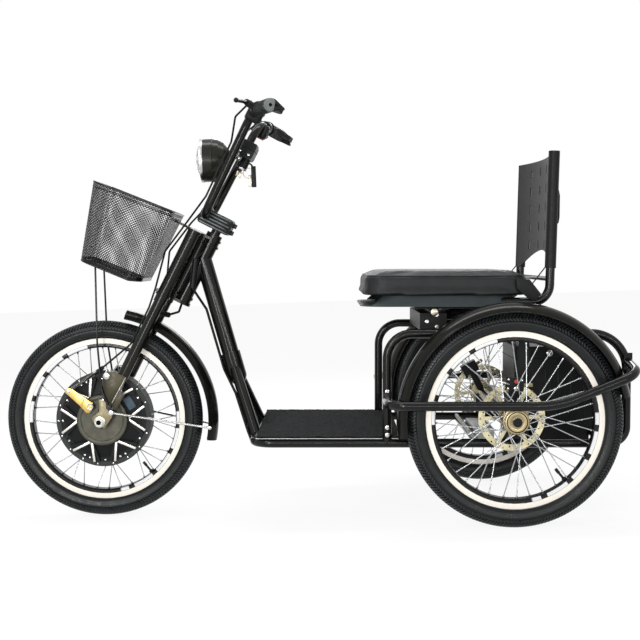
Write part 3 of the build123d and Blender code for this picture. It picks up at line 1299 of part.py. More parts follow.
def basket_form(inset):
    """Basket's outer form, or its inside for a wall thickness."""
    lift = inset
    side_view = [
        (BASKET_REAR_X - inset, BASKET_BOTTOM_REAR_S + lift),
        (BASKET_KINK_X, BASKET_KINK_S + lift),
        (BASKET_BOTTOM_FRONT_X + inset, BASKET_BOTTOM_FRONT_S + lift),
        (BASKET_TOP_FRONT_X + inset, BASKET_TOP_FRONT_S + 4 * lift),
        (BASKET_REAR_X - inset, BASKET_TOP_REAR_S + 4 * lift),
    ]
    along = extrude(Plane.XZ * make_face(Polyline(*side_view, close=True)), 300, both=True)
    rise = BASKET_TOP_REAR_S - BASKET_BOTTOM_FRONT_S
    slope = (BASKET_TOP_HALF_WIDTH - BASKET_BOTTOM_HALF_WIDTH) / rise
    low = BASKET_BOTTOM_FRONT_S - 40
    high = BASKET_TOP_REAR_S + 60
    narrow = BASKET_BOTTOM_HALF_WIDTH - 40 * slope - inset
    wide = BASKET_TOP_HALF_WIDTH + 60 * slope - inset
    front_view = [(-narrow, low), (narrow, low), (wide, high), (-wide, high)]
    across = extrude(Plane.YZ * make_face(Polyline(*front_view, close=True)), 600, both=True)
    form = along & across
    upright = [edge for edge in form.edges() if abs((edge @ 1 - edge @ 0).Z) > BASKET_UPRIGHT]
    return fillet(upright, BASKET_CORNER - inset)


def basket_stays():
    """Two bent rods from the fork feet up to the basket's floor."""
    rods = []
    foot_face = FORK_LEG_Y + FOOT_WIDTH / 2
    for side in SIDES.values():
        y = side * STAY_Y
        out = side * (foot_face + STAY_OUT)
        points = [
            (STAY_TOP_X, y, BASKET_BOTTOM_FRONT_S + 10),
            (STAY_KNEE_X, side * STAY_KNEE_Y, STAY_KNEE_S),
            (STAY_ELBOW_X, out, STAY_ELBOW_S),
            (STAY_FOOT_X, out, STAY_FOOT_S),
        ]
        bar = bent_bar(points, [20, 20], STAY_RADIUS)
        eye_end = side * (foot_face + 2 * STAY_OUT)
        eye = rod((STAY_FOOT_X, side * foot_face, STAY_FOOT_S), (STAY_FOOT_X, eye_end, STAY_FOOT_S), 6)
        rods.append(bar.fuse(eye))
    carried = basket_form(0)
    return Compound([bar.cut(carried).solids().sort_by(SortBy.VOLUME)[-1] for bar in rods])


# ================================================================ cables
def mirrored(points, side):
    """Route points given for the right side, on either side."""
    return [(x, side * y, s) for x, y, s in points]


def steering_cables():
    """Both brake cables down the handlebar, and the motor lead that enters the steerer from below."""
    left_side, right_side = SIDES["left"], SIDES["right"]
    left = mirrored(BRAKE_CABLE_UPPER + BRAKE_CABLE_LOWER, left_side)
    right = mirrored(BRAKE_CABLE_UPPER + (RIGHT_CABLE_END,), right_side)
    left_cable = bent_bar(left, [CABLE_BEND] * (len(left) - 2), CABLE_RADIUS)
    right_cable = bent_bar(right, [CABLE_BEND] * (len(right) - 2), CABLE_RADIUS)
    adjuster = rod(*mirrored(ADJUSTER_ENDS, left_side), ADJUSTER_RADIUS)
    tab = rod(*mirrored(ADJUSTER_TAB, left_side), ADJUSTER_RADIUS - 1)
    lead = bent_bar(MOTOR_LEAD, [CABLE_BEND / 2] * (len(MOTOR_LEAD) - 2), LOOM_RADIUS)
    plug = rod(*MOTOR_PLUG, SLEEVE_RADIUS - 1)
    left_cable = left_cable.fuse(adjuster, tab)
    held = [fork_crowns(), front_brake(), *brake_levers().solids()]
    held += [leg for side in SIDES.values() for leg in fork_leg(side).solids()]
    return Compound([largest(cable.cut(*held)) for cable in (left_cable, right_cable, lead.fuse(plug))])


def frame_cables():
    """Wiring loom from the head tube down the down tube and the left deck leg, under the deck."""
    top, foot = down_tube_ends()
    down = (foot - top).normalized()
    ahead = Vector(down.Z, 0, -down.X)
    start, end = deck_leg_ends(SIDES["left"])
    along = (end - start).normalized()
    leg_ahead = (ahead - along * along.dot(ahead)).normalized()
    tube_clear = ahead * (LUG_RADIUS + LOOM_RADIUS + LOOM_GAP)
    leg_clear = leg_ahead * (DECK_LEG_RADIUS + LOOM_RADIUS + LOOM_GAP)
    head = [(STEERING * Pos(*point)).position for point in LOOM_HEAD]
    deck = [(CHASSIS * Pos(*point)).position for point in LOOM_DECK]
    pieces = [rod(tuple(head[1]), tuple(head[2]), SLEEVE_RADIUS)]
    for shift in (-LOOM_SPREAD, LOOM_SPREAD):
        side = Vector(0, shift, 0)
        points = head[:2] + [head[2] + side * 0.5]
        points += [top + down * LOOM_MEET + tube_clear + side, foot - down * LUG_RADIUS + tube_clear + side]
        points += [start + along * 3 * LUG_RADIUS + leg_clear + side, end - along * LUG_RADIUS + leg_clear + side]
        points += [point + side for point in deck]
        pieces.append(bent_bar([tuple(p) for p in points], [LOOM_BEND] * (len(points) - 2), LOOM_RADIUS))
    loom = pieces[0].fuse(*pieces[1:])
    held = [main_frame()] + [in_chassis(bar) for bar in cross_tubes().solids()]
    return largest(loom.cut(*held))


# ================================================================ build
os.makedirs("parts", exist_ok=True)
parts = {}
parts.update(front_wheel_pieces())
for name, side in SIDES.items():
    parts.update(rear_wheel_pieces(name, side))
    parts[f"side_loop_{name}"] = in_chassis(side_loop(side))
    parts[f"bumper_{name}"] = in_chassis(side_guard(side))
    parts[f"rear_mudguard_{name}"] = in_chassis(rear_mudguard(side))
    parts[f"fork_leg_{name}"] = in_steering(fork_leg(side))
    parts[f"grip_{name}"] = in_steering(grip(side))
parts["cross_tubes"] = in_chassis(cross_tubes())
parts["main_frame"] = main_frame()
parts.update(floor_pieces())
parts["rear_axle"] = in_chassis(rear_axle())
calipers = [caliper(side, CALIPER_ANGLES[name]) for name, side in SIDES.items()]
parts["brake_calipers"] = in_chassis(Compound(calipers))
parts["battery_box"] = in_chassis(battery_box())
parts["controller_box"] = in_chassis(controller_box())
for name, shape in seat_pieces().items():
    parts[name] = in_chassis(shape)
parts["fork_crowns"] = in_steering(fork_crowns())
parts["front_brake"] = in_steering(front_brake())
parts["front_mudguard"] = front_mudguard()
parts["handlebar"] = in_steering(handlebar_bar(BAR_RADIUS))
parts["handlebar_clamp"] = in_steering(handlebar_clamp())
parts["brake_levers"] = in_steering(brake_levers())
parts["ignition_box"] = in_steering(ignition_box())
parts.update(headlight())
parts["basket"] = in_steering(basket())
parts["basket_stays"] = in_steering(basket_stays())
parts["steering_cables"] = in_steering(steering_cables())
parts["frame_cables"] = frame_cables()
for name, shape in parts.items():
    save(name, shape)
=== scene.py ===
"""Dressed electric tricycle: finishes, fine pieces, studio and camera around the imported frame."""

import logging
import math
from dataclasses import dataclass
from enum import Enum
from typing import Callable, Iterable, Sequence

import bmesh
import bpy
from mathutils import Matrix, Vector

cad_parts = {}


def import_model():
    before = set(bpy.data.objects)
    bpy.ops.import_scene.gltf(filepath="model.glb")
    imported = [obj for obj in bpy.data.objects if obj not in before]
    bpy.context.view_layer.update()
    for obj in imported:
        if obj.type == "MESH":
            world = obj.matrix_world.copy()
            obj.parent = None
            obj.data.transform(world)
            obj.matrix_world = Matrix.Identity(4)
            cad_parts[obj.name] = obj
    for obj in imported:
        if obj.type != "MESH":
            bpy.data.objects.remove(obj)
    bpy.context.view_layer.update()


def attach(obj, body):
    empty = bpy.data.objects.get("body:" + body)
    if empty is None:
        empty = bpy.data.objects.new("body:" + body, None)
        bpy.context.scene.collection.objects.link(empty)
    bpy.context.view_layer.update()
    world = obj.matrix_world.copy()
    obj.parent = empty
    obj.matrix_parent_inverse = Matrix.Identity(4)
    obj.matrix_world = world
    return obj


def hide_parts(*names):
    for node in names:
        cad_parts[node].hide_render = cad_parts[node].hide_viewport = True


LOG = logging.getLogger("tricycle")
MM = 0.001
Point = tuple[float, float, float]
Colour = tuple[float, float, float]
Outline = Sequence[tuple[float, float]]
Piece = bpy.types.Object
Material = bpy.types.Material
Socket = bpy.types.NodeSocket


class Side(Enum):
    """Left and right of the vehicle, as the sign of their Y."""

    LEFT = -1
    RIGHT = 1


BOTH = (Side.LEFT, Side.RIGHT)


@dataclass(frozen=True)
class Stance:
    """Where the local frames stand in the row frame, in millimetres and degrees."""

    rear_axle_x: float = 495.54
    front_axle_x: float = -532.46
    axle_height: float = 257.0
    pitch: float = 2.0
    steer_x: float = -493.86
    steer_z: float = 235.87
    rake: float = 28.7
    wheel_y: float = 300.0

    def row(self, x: float, y: float, z: float) -> Vector:
        """Row place of a point given in row millimetres."""
        return Vector((x, y, z)) * MM

    def chassis(self, x: float, y: float, z: float) -> Vector:
        """Row place of a point given from the rear axle along the pitched chassis."""
        turn = Matrix.Rotation(math.radians(self.pitch), 3, "Y")
        return (turn @ Vector((x, y, z)) + Vector((self.rear_axle_x, 0, self.axle_height))) * MM

    def steering(self, x: float, y: float, z: float) -> Vector:
        """Row place of a point given from the foot of the steering axis, along that axis."""
        turn = Matrix.Rotation(math.radians(self.rake), 3, "Y")
        return (turn @ Vector((x, y, z)) + Vector((self.steer_x, 0, self.steer_z))) * MM

    @property
    def chassis_frame(self) -> Matrix:
        """Matrix of the pitched chassis, from the rear axle."""
        turn = Matrix.Rotation(math.radians(self.pitch), 4, "Y")
        return Matrix.Translation(self.row(self.rear_axle_x, 0, self.axle_height)) @ turn

    @property
    def steering_frame(self) -> Matrix:
        """Matrix of the raked steering axis, from its foot."""
        turn = Matrix.Rotation(math.radians(self.rake), 4, "Y")
        return Matrix.Translation(self.row(self.steer_x, 0, self.steer_z)) @ turn

    @property
    def front_axle(self) -> Vector:
        """Middle of the front axle."""
        return self.row(self.front_axle_x, 0, self.axle_height)

    def rear_wheel(self, side: Side) -> Vector:
        """Middle of one rear wheel."""
        return self.row(self.rear_axle_x, side.value * self.wheel_y, self.axle_height)


STANCE = Stance()


# ------------------------------------------------------------------ bench
def idle() -> None:
    """Leave edit mode and deselect everything."""
    if bpy.context.object and bpy.context.object.mode != "OBJECT":
        bpy.ops.object.mode_set(mode="OBJECT")
    bpy.ops.object.select_all(action="DESELECT")


def take(*pieces: Piece) -> None:
    """Select these pieces alone; the first is the active one."""
    idle()
    for piece in pieces:
        piece.select_set(True)
    bpy.context.view_layer.objects.active = pieces[0]


def settle(name: str) -> Piece:
    """Name the active object and bring its place, turn and scale into its mesh.

    Args:
        name: the piece's name.

    Returns:
        The piece, standing at the origin.
    """
    piece = bpy.context.object
    piece.name = name
    piece.data.name = name
    bpy.ops.object.transform_apply(location=True, rotation=True, scale=True)
    return piece


class Edit:
    """Edit mode on one piece, with face or edge picking by a test."""

    def __init__(self, piece: Piece, mode: str = "FACE") -> None:
        """Keep the piece and the select mode."""
        self.piece = piece
        self.mode = mode

    def __enter__(self) -> "Edit":
        """Open edit mode with nothing selected."""
        take(self.piece)
        bpy.ops.object.mode_set(mode="EDIT")
        bpy.ops.mesh.select_mode(type=self.mode)
        bpy.ops.mesh.select_all(action="DESELECT")
        return self

    def __exit__(self, *problem: object) -> None:
        """Close edit mode."""
        bpy.ops.object.mode_set(mode="OBJECT")

    def faces(self, test: Callable[[bmesh.types.BMFace], bool]) -> None:
        """Select the faces that pass a test.

        Args:
            test: what a face has to meet.
        """
        mesh = bmesh.from_edit_mesh(self.piece.data)
        for face in mesh.faces:
            face.select_set(bool(test(face)))
        mesh.select_flush_mode()
        bmesh.update_edit_mesh(self.piece.data)

    def edges(self, test: Callable[[bmesh.types.BMEdge], bool]) -> None:
        """Select the edges that pass a test.

        Args:
            test: what an edge has to meet.
        """
        mesh = bmesh.from_edit_mesh(self.piece.data)
        for edge in mesh.edges:
            edge.select_set(bool(test(edge)))
        bmesh.update_edit_mesh(self.piece.data)


def pick_all() -> None:
    """Select the whole mesh in edit mode."""
    bpy.ops.mesh.select_all(action="SELECT")


def face_out(merge: bool = False) -> None:
    """Turn every face of the mesh in edit mode outwards, with doubled corners merged first if asked."""
    pick_all()
    if merge:
        bpy.ops.mesh.remove_doubles(threshold=1e-6)
    bpy.ops.mesh.normals_make_consistent(inside=False)


def cut_off(at: Point, away: Point) -> None:
    """Cut what is picked by a plane through a point, and drop what lies on its far side."""
    bpy.ops.mesh.bisect(plane_co=at, plane_no=away, clear_outer=True, use_fill=True)


def modify(piece: Piece, name: str, kind: str, **settings: object) -> None:
    """Add a modifier to a piece and apply it.

    Args:
        piece: the piece to change.
        name: the modifier's name.
        kind: its type.
        settings: its properties.
    """
    take(piece)
    modifier = piece.modifiers.new(name, kind)
    for key, value in settings.items():
        setattr(modifier, key, value)
    bpy.ops.object.modifier_apply(modifier=name)


def smooth(piece: Piece, angle: float = 35.0) -> Piece:
    """Shade a piece smooth up to an angle in degrees, and give it back."""
    take(piece)
    bpy.ops.object.shade_smooth_by_angle(angle=math.radians(angle))
    return piece


def rod(name: str, start: Vector, end: Vector, radius: float, sides: int = 20, bevel: float = 0.0) -> Piece:
    """Round or many-sided bar between two points.

    Args:
        name: the piece's name.
        start: first end, in metres.
        end: second end, in metres.
        radius: its radius in millimetres.
        sides: how many flats it has.
        bevel: width of the bevel round each end, in millimetres.

    Returns:
        The bar.
    """
    idle()
    run = end - start
    turn = run.to_track_quat("Z", "Y").to_euler()
    bpy.ops.mesh.primitive_cylinder_add(
        vertices=sides, radius=radius * MM, depth=run.length, location=(start + end) / 2, rotation=turn
    )
    piece = settle(name)
    if bevel:
        with Edit(piece) as work:
            work.faces(lambda face: len(face.verts) == sides and sides > 4)
            bpy.ops.mesh.bevel(offset=bevel * MM, segments=2, affect="EDGES")
    return smooth(piece)


def plate(name: str, size: Point, bevel: float, place: Matrix, segments: int = 2) -> Piece:
    """Block with eased edges, put in place by a matrix.

    Args:
        name: the piece's name.
        size: its length, width and height in millimetres.
        bevel: width of the eased edge in millimetres.
        place: where it goes, from the origin.
        segments: steps in the eased edge.

    Returns:
        The block.
    """
    idle()
    bpy.ops.mesh.primitive_cube_add(size=1, scale=Vector(size) * MM)
    piece = settle(name)
    with Edit(piece):
        pick_all()
        bpy.ops.mesh.bevel(offset=bevel * MM, segments=segments, affect="EDGES")
    piece.data.transform(place)
    return smooth(piece)


def wire(name: str, points: Sequence[Vector], radius: float, curved: bool = True, sides: int = 3) -> Piece:
    """Round wire along a run of points.

    Args:
        name: the piece's name.
        points: places along it, in metres.
        radius: its radius in millimetres.
        curved: whether it bends smoothly past the points or runs straight between them.
        sides: half the flats round it, less one.

    Returns:
        The wire as a mesh.
    """
    idle()
    bpy.ops.curve.primitive_nurbs_path_add(location=(0, 0, 0))
    piece = bpy.context.object
    spline = piece.data.splines[0]
    if len(points) < len(spline.points):
        piece.data.splines.clear()
        spline = piece.data.splines.new("NURBS")
    spline.points.add(len(points) - len(spline.points))
    for point, place in zip(spline.points, points):
        point.co = (*place, 1.0)
    spline.type = "NURBS" if curved else "POLY"
    if curved:
        spline.order_u = min(3, len(points))
        spline.use_endpoint_u = True
    spline.resolution_u = 6
    piece.data.dimensions = "3D"
    piece.data.bevel_depth = radius * MM
    piece.data.bevel_resolution = sides
    piece.data.use_fill_caps = True
    bpy.ops.object.convert(target="MESH")
    return smooth(settle(name), 60.0)


def lathe(name: str, profile: Outline, place: Matrix, steps: int = 96) -> Piece:
    """Turned piece about the local Y axis.

    Args:
        name: the piece's name.
        profile: closed run of (radius, y) points in millimetres.
        place: where its axis stands.
        steps: how many steps round it.

    Returns:
        The turned piece.
    """
    idle()
    bpy.ops.mesh.primitive_circle_add(vertices=len(profile), fill_type="NOTHING")
    piece = bpy.context.object
    for corner, (radius, y) in zip(piece.data.vertices, profile):
        corner.co = Vector((radius, y, 0)) * MM
    settle(name)
    with Edit(piece, "VERT"):
        pick_all()
        bpy.ops.mesh.spin(steps=steps, angle=2 * math.pi, center=(0, 0, 0), axis=(0, 1, 0))
        face_out(True)
    piece.data.transform(place)
    return smooth(piece)


def aim(at: Vector, axis: Vector) -> Matrix:
    """Matrix that stands a piece made on +Z at a place along an axis."""
    return Matrix.Translation(at) @ axis.to_track_quat("Z", "Y").to_matrix().to_4x4()


def join(name: str, pieces: Sequence[Piece]) -> Piece:
    """Join pieces of one finish into one, and give it back."""
    if len(pieces) > 1:
        take(*pieces)
        bpy.ops.object.join()
    pieces[0].name = name
    pieces[0].data.name = name
    return pieces[0]


def repeat(name: str, master: Piece, places: Iterable[Matrix]) -> Piece:
    """Copy a piece to many places, each copy with its own mesh, and join them.

    Args:
        name: the joined piece's name.
        master: the piece modelled once, which is used up.
        places: where each copy goes.

    Returns:
        The joined piece.
    """
    twins = []
    for place in places:
        twin = master.copy()
        twin.data = master.data.copy()
        twin.data.transform(place)
        bpy.context.scene.collection.objects.link(twin)
        twins.append(twin)
    bpy.data.objects.remove(master)
    return join(name, twins)


def around(centre: Vector, count: int, first: float = 0.0) -> list[Matrix]:
    """Turns about an axle through a centre, evenly spaced.

    Args:
        centre: a point of the axle, in metres.
        count: how many turns.
        first: angle of the first one in degrees.

    Returns:
        One matrix a turn.
    """
    back = Matrix.Translation(-centre)
    forth = Matrix.Translation(centre)
    turns = (math.radians(first + index * 360 / count) for index in range(count))
    return [forth @ Matrix.Rotation(-turn, 4, "Y") @ back for turn in turns]


def mm(x: float, y: float, z: float) -> Vector:
    """Point or step given in millimetres."""
    return Vector((x, y, z)) * MM


def moved(x: float, y: float, z: float) -> Matrix:
    """Matrix of a step given in millimetres."""
    return Matrix.Translation(mm(x, y, z))


def ray(degrees: float) -> Vector:
    """Unit step at an angle about the wheels' axle, from X towards Z."""
    turn = math.radians(degrees)
    return Vector((math.cos(turn), 0, math.sin(turn)))


def lie(at: Vector, along: Vector, away: Vector) -> Matrix:
    """Matrix that lays a piece at a place, its X along one way and its Z out of the face."""
    out = away.normalized()
    forth = (along - out * along.dot(out)).normalized()
    return Matrix.Translation(at) @ Matrix((forth, out.cross(forth), out)).transposed().to_4x4()


def upright(y: float) -> Matrix:
    """Matrix that stands an outline across Y at a place, its thickness towards the left."""
    return Matrix(((1, 0, 0, 0), (0, 0, -1, y * MM), (0, 1, 0, 0), (0, 0, 0, 1)))


def cutout(name: str, outline: Outline, thickness: float, bevel: float, place: Matrix) -> Piece:
    """Flat piece cut to an outline, its thickness along +Z, put in place by a matrix.

    Args:
        name: the piece's name.
        outline: its corners in millimetres.
        thickness: how thick it is, in millimetres.
        bevel: width of its eased edges in millimetres.
        place: where it goes, from the origin.

    Returns:
        The flat piece.
    """
    idle()
    bpy.ops.mesh.primitive_circle_add(vertices=len(outline), fill_type="NGON")
    piece = bpy.context.object
    for corner, (x, z) in zip(piece.data.vertices, outline):
        corner.co = Vector((x, z, 0)) * MM
    settle(name)
    with Edit(piece):
        pick_all()
        bpy.ops.mesh.extrude_region_move(TRANSFORM_OT_translate={"value": (0, 0, thickness * MM)})
        face_out()
        bpy.ops.mesh.bevel(offset=bevel * MM, segments=2, affect="EDGES")
    piece.data.transform(place)
    return smooth(piece)


def turned(name: str, profile: Outline, at: Vector, axis: Vector, steps: int = 48) -> Piece:
    """Turned piece whose profile of (radius, height) points runs up an axis from a place."""
    turn = axis.to_track_quat("Y", "Z").to_matrix().to_4x4()
    return lathe(name, profile, Matrix.Translation(at) @ turn, steps)


def hex_bolt(radius: float, height: float, washer: float = 1.35) -> Piece:
    """Hexagon head on a washer, on +Z from the origin, sizes in millimetres."""
    head = rod("head", Vector((0, 0, 0.8 * MM)), Vector((0, 0, (0.8 + height) * MM)), radius, 6)
    with Edit(head) as work:
        work.faces(lambda face: face.normal.z > 0.9)
        bpy.ops.mesh.inset(thickness=radius * 0.15 * MM)
        bpy.ops.transform.translate(value=(0, 0, height * 0.12 * MM))
    ring = rod("ring", Vector((0, 0, -0.4 * MM)), Vector((0, 0, 0.9 * MM)), radius * washer, 20, 0.3)
    return join("bolt", [head, ring])


def socket_bolt(radius: float, height: float) -> Piece:
    """Round head with a hexagon socket, on +Z from the origin, sizes in millimetres."""
    head = rod("bolt", Vector((0, 0, -0.5 * MM)), Vector((0, 0, height * MM)), radius, 18)
    with Edit(head) as work:
        work.faces(lambda face: face.normal.z > 0.9)
        bpy.ops.mesh.bevel(offset=radius * 0.18 * MM, segments=2, affect="EDGES")
        work.faces(lambda face: face.normal.z > 0.9 and len(face.verts) > 8)
        bpy.ops.mesh.inset(thickness=radius * 0.32 * MM)
        bpy.ops.transform.translate(value=(0, 0, -height * 0.5 * MM))
    return head


# ------------------------------------------------------------------ finishes
class Graph:
    """Shader nodes of one material, round a Principled shader."""

    def __init__(self, name: str) -> None:
        """Start an empty material with its shader and output."""
        self.material = bpy.data.materials.new(name)
        self.material.use_nodes = True
        self.tree = self.material.node_tree
        self.tree.nodes.clear()
        self.shader = self.add("ShaderNodeBsdfPrincipled")
        output = self.add("ShaderNodeOutputMaterial")
        self.tree.links.new(self.shader.outputs[0], output.inputs[0])
        self.place = self.add("ShaderNodeTexCoord").outputs["Object"]

    def add(self, kind: str, inputs: dict | None = None, **settings: object) -> bpy.types.Node:
        """Add a node.

        Args:
            kind: the node's type.
            inputs: values or output sockets for its inputs, by name or number.
            settings: its own properties.

        Returns:
            The node.
        """
        node = self.tree.nodes.new(kind)
        for key, value in settings.items():
            setattr(node, key, value)
        for key, value in (inputs or {}).items():
            if isinstance(value, Socket):
                self.tree.links.new(value, node.inputs[key])
            else:
                node.inputs[key].default_value = value
        return node

    def set(self, **values: object) -> None:
        """Set or link inputs of the shader, with _ for each space in a name."""
        for key, value in values.items():
            socket = self.shader.inputs[key.replace("_", " ")]
            if isinstance(value, Socket):
                self.tree.links.new(value, socket)
            else:
                socket.default_value = (*value, 1.0) if isinstance(value, tuple) else value

    def math(self, operation: str, *values: object) -> Socket:
        """Arithmetic on values or sockets."""
        inputs = dict(enumerate(values))
        return self.add("ShaderNodeMath", inputs, operation=operation).outputs[0]

    def noise(self, scale: float, detail: float = 3.0) -> Socket:
        """Noise factor at a scale per metre."""
        inputs = {"Vector": self.place, "Scale": scale, "Detail": detail}
        return self.add("ShaderNodeTexNoise", inputs).outputs[0]

    def cells(self, scale: float, feature: str = "F1") -> Socket:
        """Distance of a cell pattern at a scale per metre."""
        inputs = {"Vector": self.place, "Scale": scale}
        return self.add("ShaderNodeTexVoronoi", inputs, feature=feature).outputs["Distance"]

    def ramp(self, factor: Socket, stops: Sequence[tuple[float, Colour]], hard: bool = False) -> Socket:
        """Colours along a factor.

        Args:
            factor: what runs along the ramp.
            stops: place and colour of each stop.
            hard: whether colours step instead of blending.

        Returns:
            The colour socket.
        """
        node = self.add("ShaderNodeValToRGB", {0: factor})
        node.color_ramp.interpolation = "CONSTANT" if hard else "LINEAR"
        elements = node.color_ramp.elements
        while len(elements) < len(stops):
            elements.new(0.5)
        for element, (at, colour) in zip(elements, stops):
            element.position = at
            element.color = (*colour, 1.0)
        return node.outputs[0]

    def blend(self, factor: object, first: object, second: object) -> Socket:
        """Mix of two colours by a factor."""
        node = self.add("ShaderNodeMix", data_type="RGBA")
        for index, value in ((0, factor), (6, first), (7, second)):
            if isinstance(value, Socket):
                self.tree.links.new(value, node.inputs[index])
            else:
                node.inputs[index].default_value = (*value, 1.0) if isinstance(value, tuple) else value
        return node.outputs[2]

    def span(
        self, value: Socket, low: float, high: float, to_low: float = 0.0, to_high: float = 1.0
    ) -> Socket:
        """Map a value from one range to another, clamped."""
        inputs = {0: value, 1: low, 2: high, 3: to_low, 4: to_high}
        return self.add("ShaderNodeMapRange", inputs).outputs[0]

    def bump(self, height: Socket, depth: float, strength: float = 1.0) -> None:
        """Bump the shader's normal by a height, depth in millimetres."""
        inputs = {"Height": height, "Distance": depth * MM, "Strength": strength}
        self.tree.links.new(self.add("ShaderNodeBump", inputs).outputs[0], self.shader.inputs["Normal"])

    def radius_about(self, centre: Vector) -> Socket:
        """Distance in metres from an axle along Y through a centre."""
        offset = self.add("ShaderNodeVectorMath", {0: self.place, 1: tuple(centre)}, operation="SUBTRACT")
        inputs = {0: offset.outputs[0], 1: (1.0, 0.0, 1.0)}
        flat = self.add("ShaderNodeVectorMath", inputs, operation="MULTIPLY")
        return self.add("ShaderNodeVectorMath", {0: flat.outputs[0]}, operation="LENGTH").outputs["Value"]

    def angle_about(self, centre: Vector) -> Socket:
        """Angle in radians about an axle along Y through a centre."""
        offset = self.add("ShaderNodeVectorMath", {0: self.place, 1: tuple(centre)}, operation="SUBTRACT")
        parts = self.add("ShaderNodeSeparateXYZ", {0: offset.outputs[0]})
        return self.math("ARCTAN2", parts.outputs[2], parts.outputs[0])


@dataclass(frozen=True)
class Paint:
    """Glossy sprayed paint or stove enamel on metal."""

    name: str
    colour: Colour
    tint: Colour
    roughness: float = 0.2
    gloss: float = 0.16

    def build(self) -> Material:
        """Nodes with an uneven flow, fine dust and a slight orange peel."""
        graph = Graph(self.name)
        flow = graph.noise(9.0, 2.0)
        dust = graph.noise(420.0, 4.0)
        shade = graph.blend(graph.span(flow, 0.35, 0.7), self.colour, self.tint)
        low, high = self.roughness * 0.8, self.roughness * 1.4
        graph.set(Base_Color=shade, Roughness=graph.span(dust, 0.3, 0.75, low, high))
        graph.set(Specular_IOR_Level=self.gloss)
        graph.bump(graph.noise(900.0, 1.0), 0.02, 0.35)
        return graph.material


@dataclass(frozen=True)
class Metal:
    """Bare, plated or cast metal."""

    name: str
    colour: Colour
    stain: Colour
    roughness: float = 0.3
    grain: float = 260.0
    depth: float = 0.03
    metallic: float = 1.0

    def build(self) -> Material:
        """Nodes with stains, a grain and uneven polish."""
        graph = Graph(self.name)
        stain = graph.span(graph.noise(38.0, 5.0), 0.42, 0.72, 0.0, 0.8)
        grain = graph.noise(self.grain, 6.0)
        graph.set(Base_Color=graph.blend(stain, self.colour, self.stain), Metallic=self.metallic)
        graph.set(Roughness=graph.span(grain, 0.25, 0.8, self.roughness * 0.7, self.roughness * 1.5))
        graph.bump(grain, self.depth, 0.6)
        return graph.material


@dataclass(frozen=True)
class Plastic:
    """Moulded plastic or rubber with a fine texture."""

    name: str
    colour: Colour
    roughness: float = 0.45
    grain: float = 700.0
    depth: float = 0.05
    gloss: float = 0.35

    def build(self) -> Material:
        """Nodes with a spark-eroded grain and faint flow marks."""
        graph = Graph(self.name)
        grain = graph.cells(self.grain)
        flow = graph.span(graph.noise(22.0, 3.0), 0.3, 0.75, 0.75, 1.35)
        shade = graph.add("ShaderNodeVectorMath", {0: self.colour, "Scale": flow}, operation="SCALE")
        graph.set(Base_Color=shade.outputs[0], Specular_IOR_Level=self.gloss)
        graph.set(Roughness=graph.span(grain, 0.0, 0.7, self.roughness * 0.85, self.roughness * 1.25))
        graph.bump(grain, self.depth, 0.5)
        return graph.material


@dataclass(frozen=True)
class TyreRubber:
    """Tyre rubber that greys towards the dusty tread, with painted shade in the tread grooves, painted
    highlights on the lug tops, and moulding rings on the wall.

    Sizes are in metres.
    """

    name: str
    centre: Vector
    crown: float = 0.230
    worn: tuple[float, float] = (0.238, 0.256)
    groove_shade: tuple[float, float] = (0.0252, 0.0264)
    shoulder: tuple[float, float] = (0.2346, 0.2354)
    wall: tuple[float, float] = (0.226, 0.230)
    ring_pitch: float = 0.0042

    def build(self) -> Material:
        """Nodes that follow the distance from the axle and from the middle of the section."""
        graph = Graph(self.name)
        radius = graph.radius_about(self.centre)
        dust = graph.noise(70.0, 6.0)
        worn = graph.span(radius, *self.worn)
        wear = graph.math("MULTIPLY", worn, graph.span(dust, 0.35, 0.7, 0.2, 1.0))
        across = graph.add("ShaderNodeSeparateXYZ", {"Vector": graph.place}).outputs[1]
        aside = graph.math("SUBTRACT", across, self.centre.y)
        out = graph.math("SUBTRACT", radius, self.crown)
        square = graph.math("ADD", graph.math("POWER", aside, 2.0), graph.math("POWER", out, 2.0))
        reach = graph.math("SQRT", square)
        # Painted highlight: the lug tops are painted lighter than the wall, in dust tones that vary at
        # random.
        lug = graph.blend(graph.span(dust, 0.35, 0.7), (0.014, 0.0165, 0.0175), (0.03, 0.034, 0.036))
        # Painted shade: down in the grooves, nearer the section's middle, the colour drops to near-black.
        tread = graph.blend(graph.span(reach, *self.groove_shade), (0.001, 0.0012, 0.0012), lug)
        wall = graph.blend(wear, (0.0042, 0.005, 0.0054), (0.0095, 0.011, 0.0118))
        graph.set(Base_Color=graph.blend(graph.span(radius, *self.shoulder), wall, tread))
        graph.set(Roughness=graph.span(dust, 0.3, 0.7, 0.24, 0.42), Specular_IOR_Level=0.28)
        rings = graph.math("SINE", graph.math("MULTIPLY", radius, 2 * math.pi / self.ring_pitch))
        wall = graph.span(radius, *self.wall, 1.0, 0.0)
        height = graph.math("ADD", graph.math("MULTIPLY", rings, wall), graph.noise(1600.0, 2.0))
        graph.bump(height, 0.12, 0.5)
        return graph.material


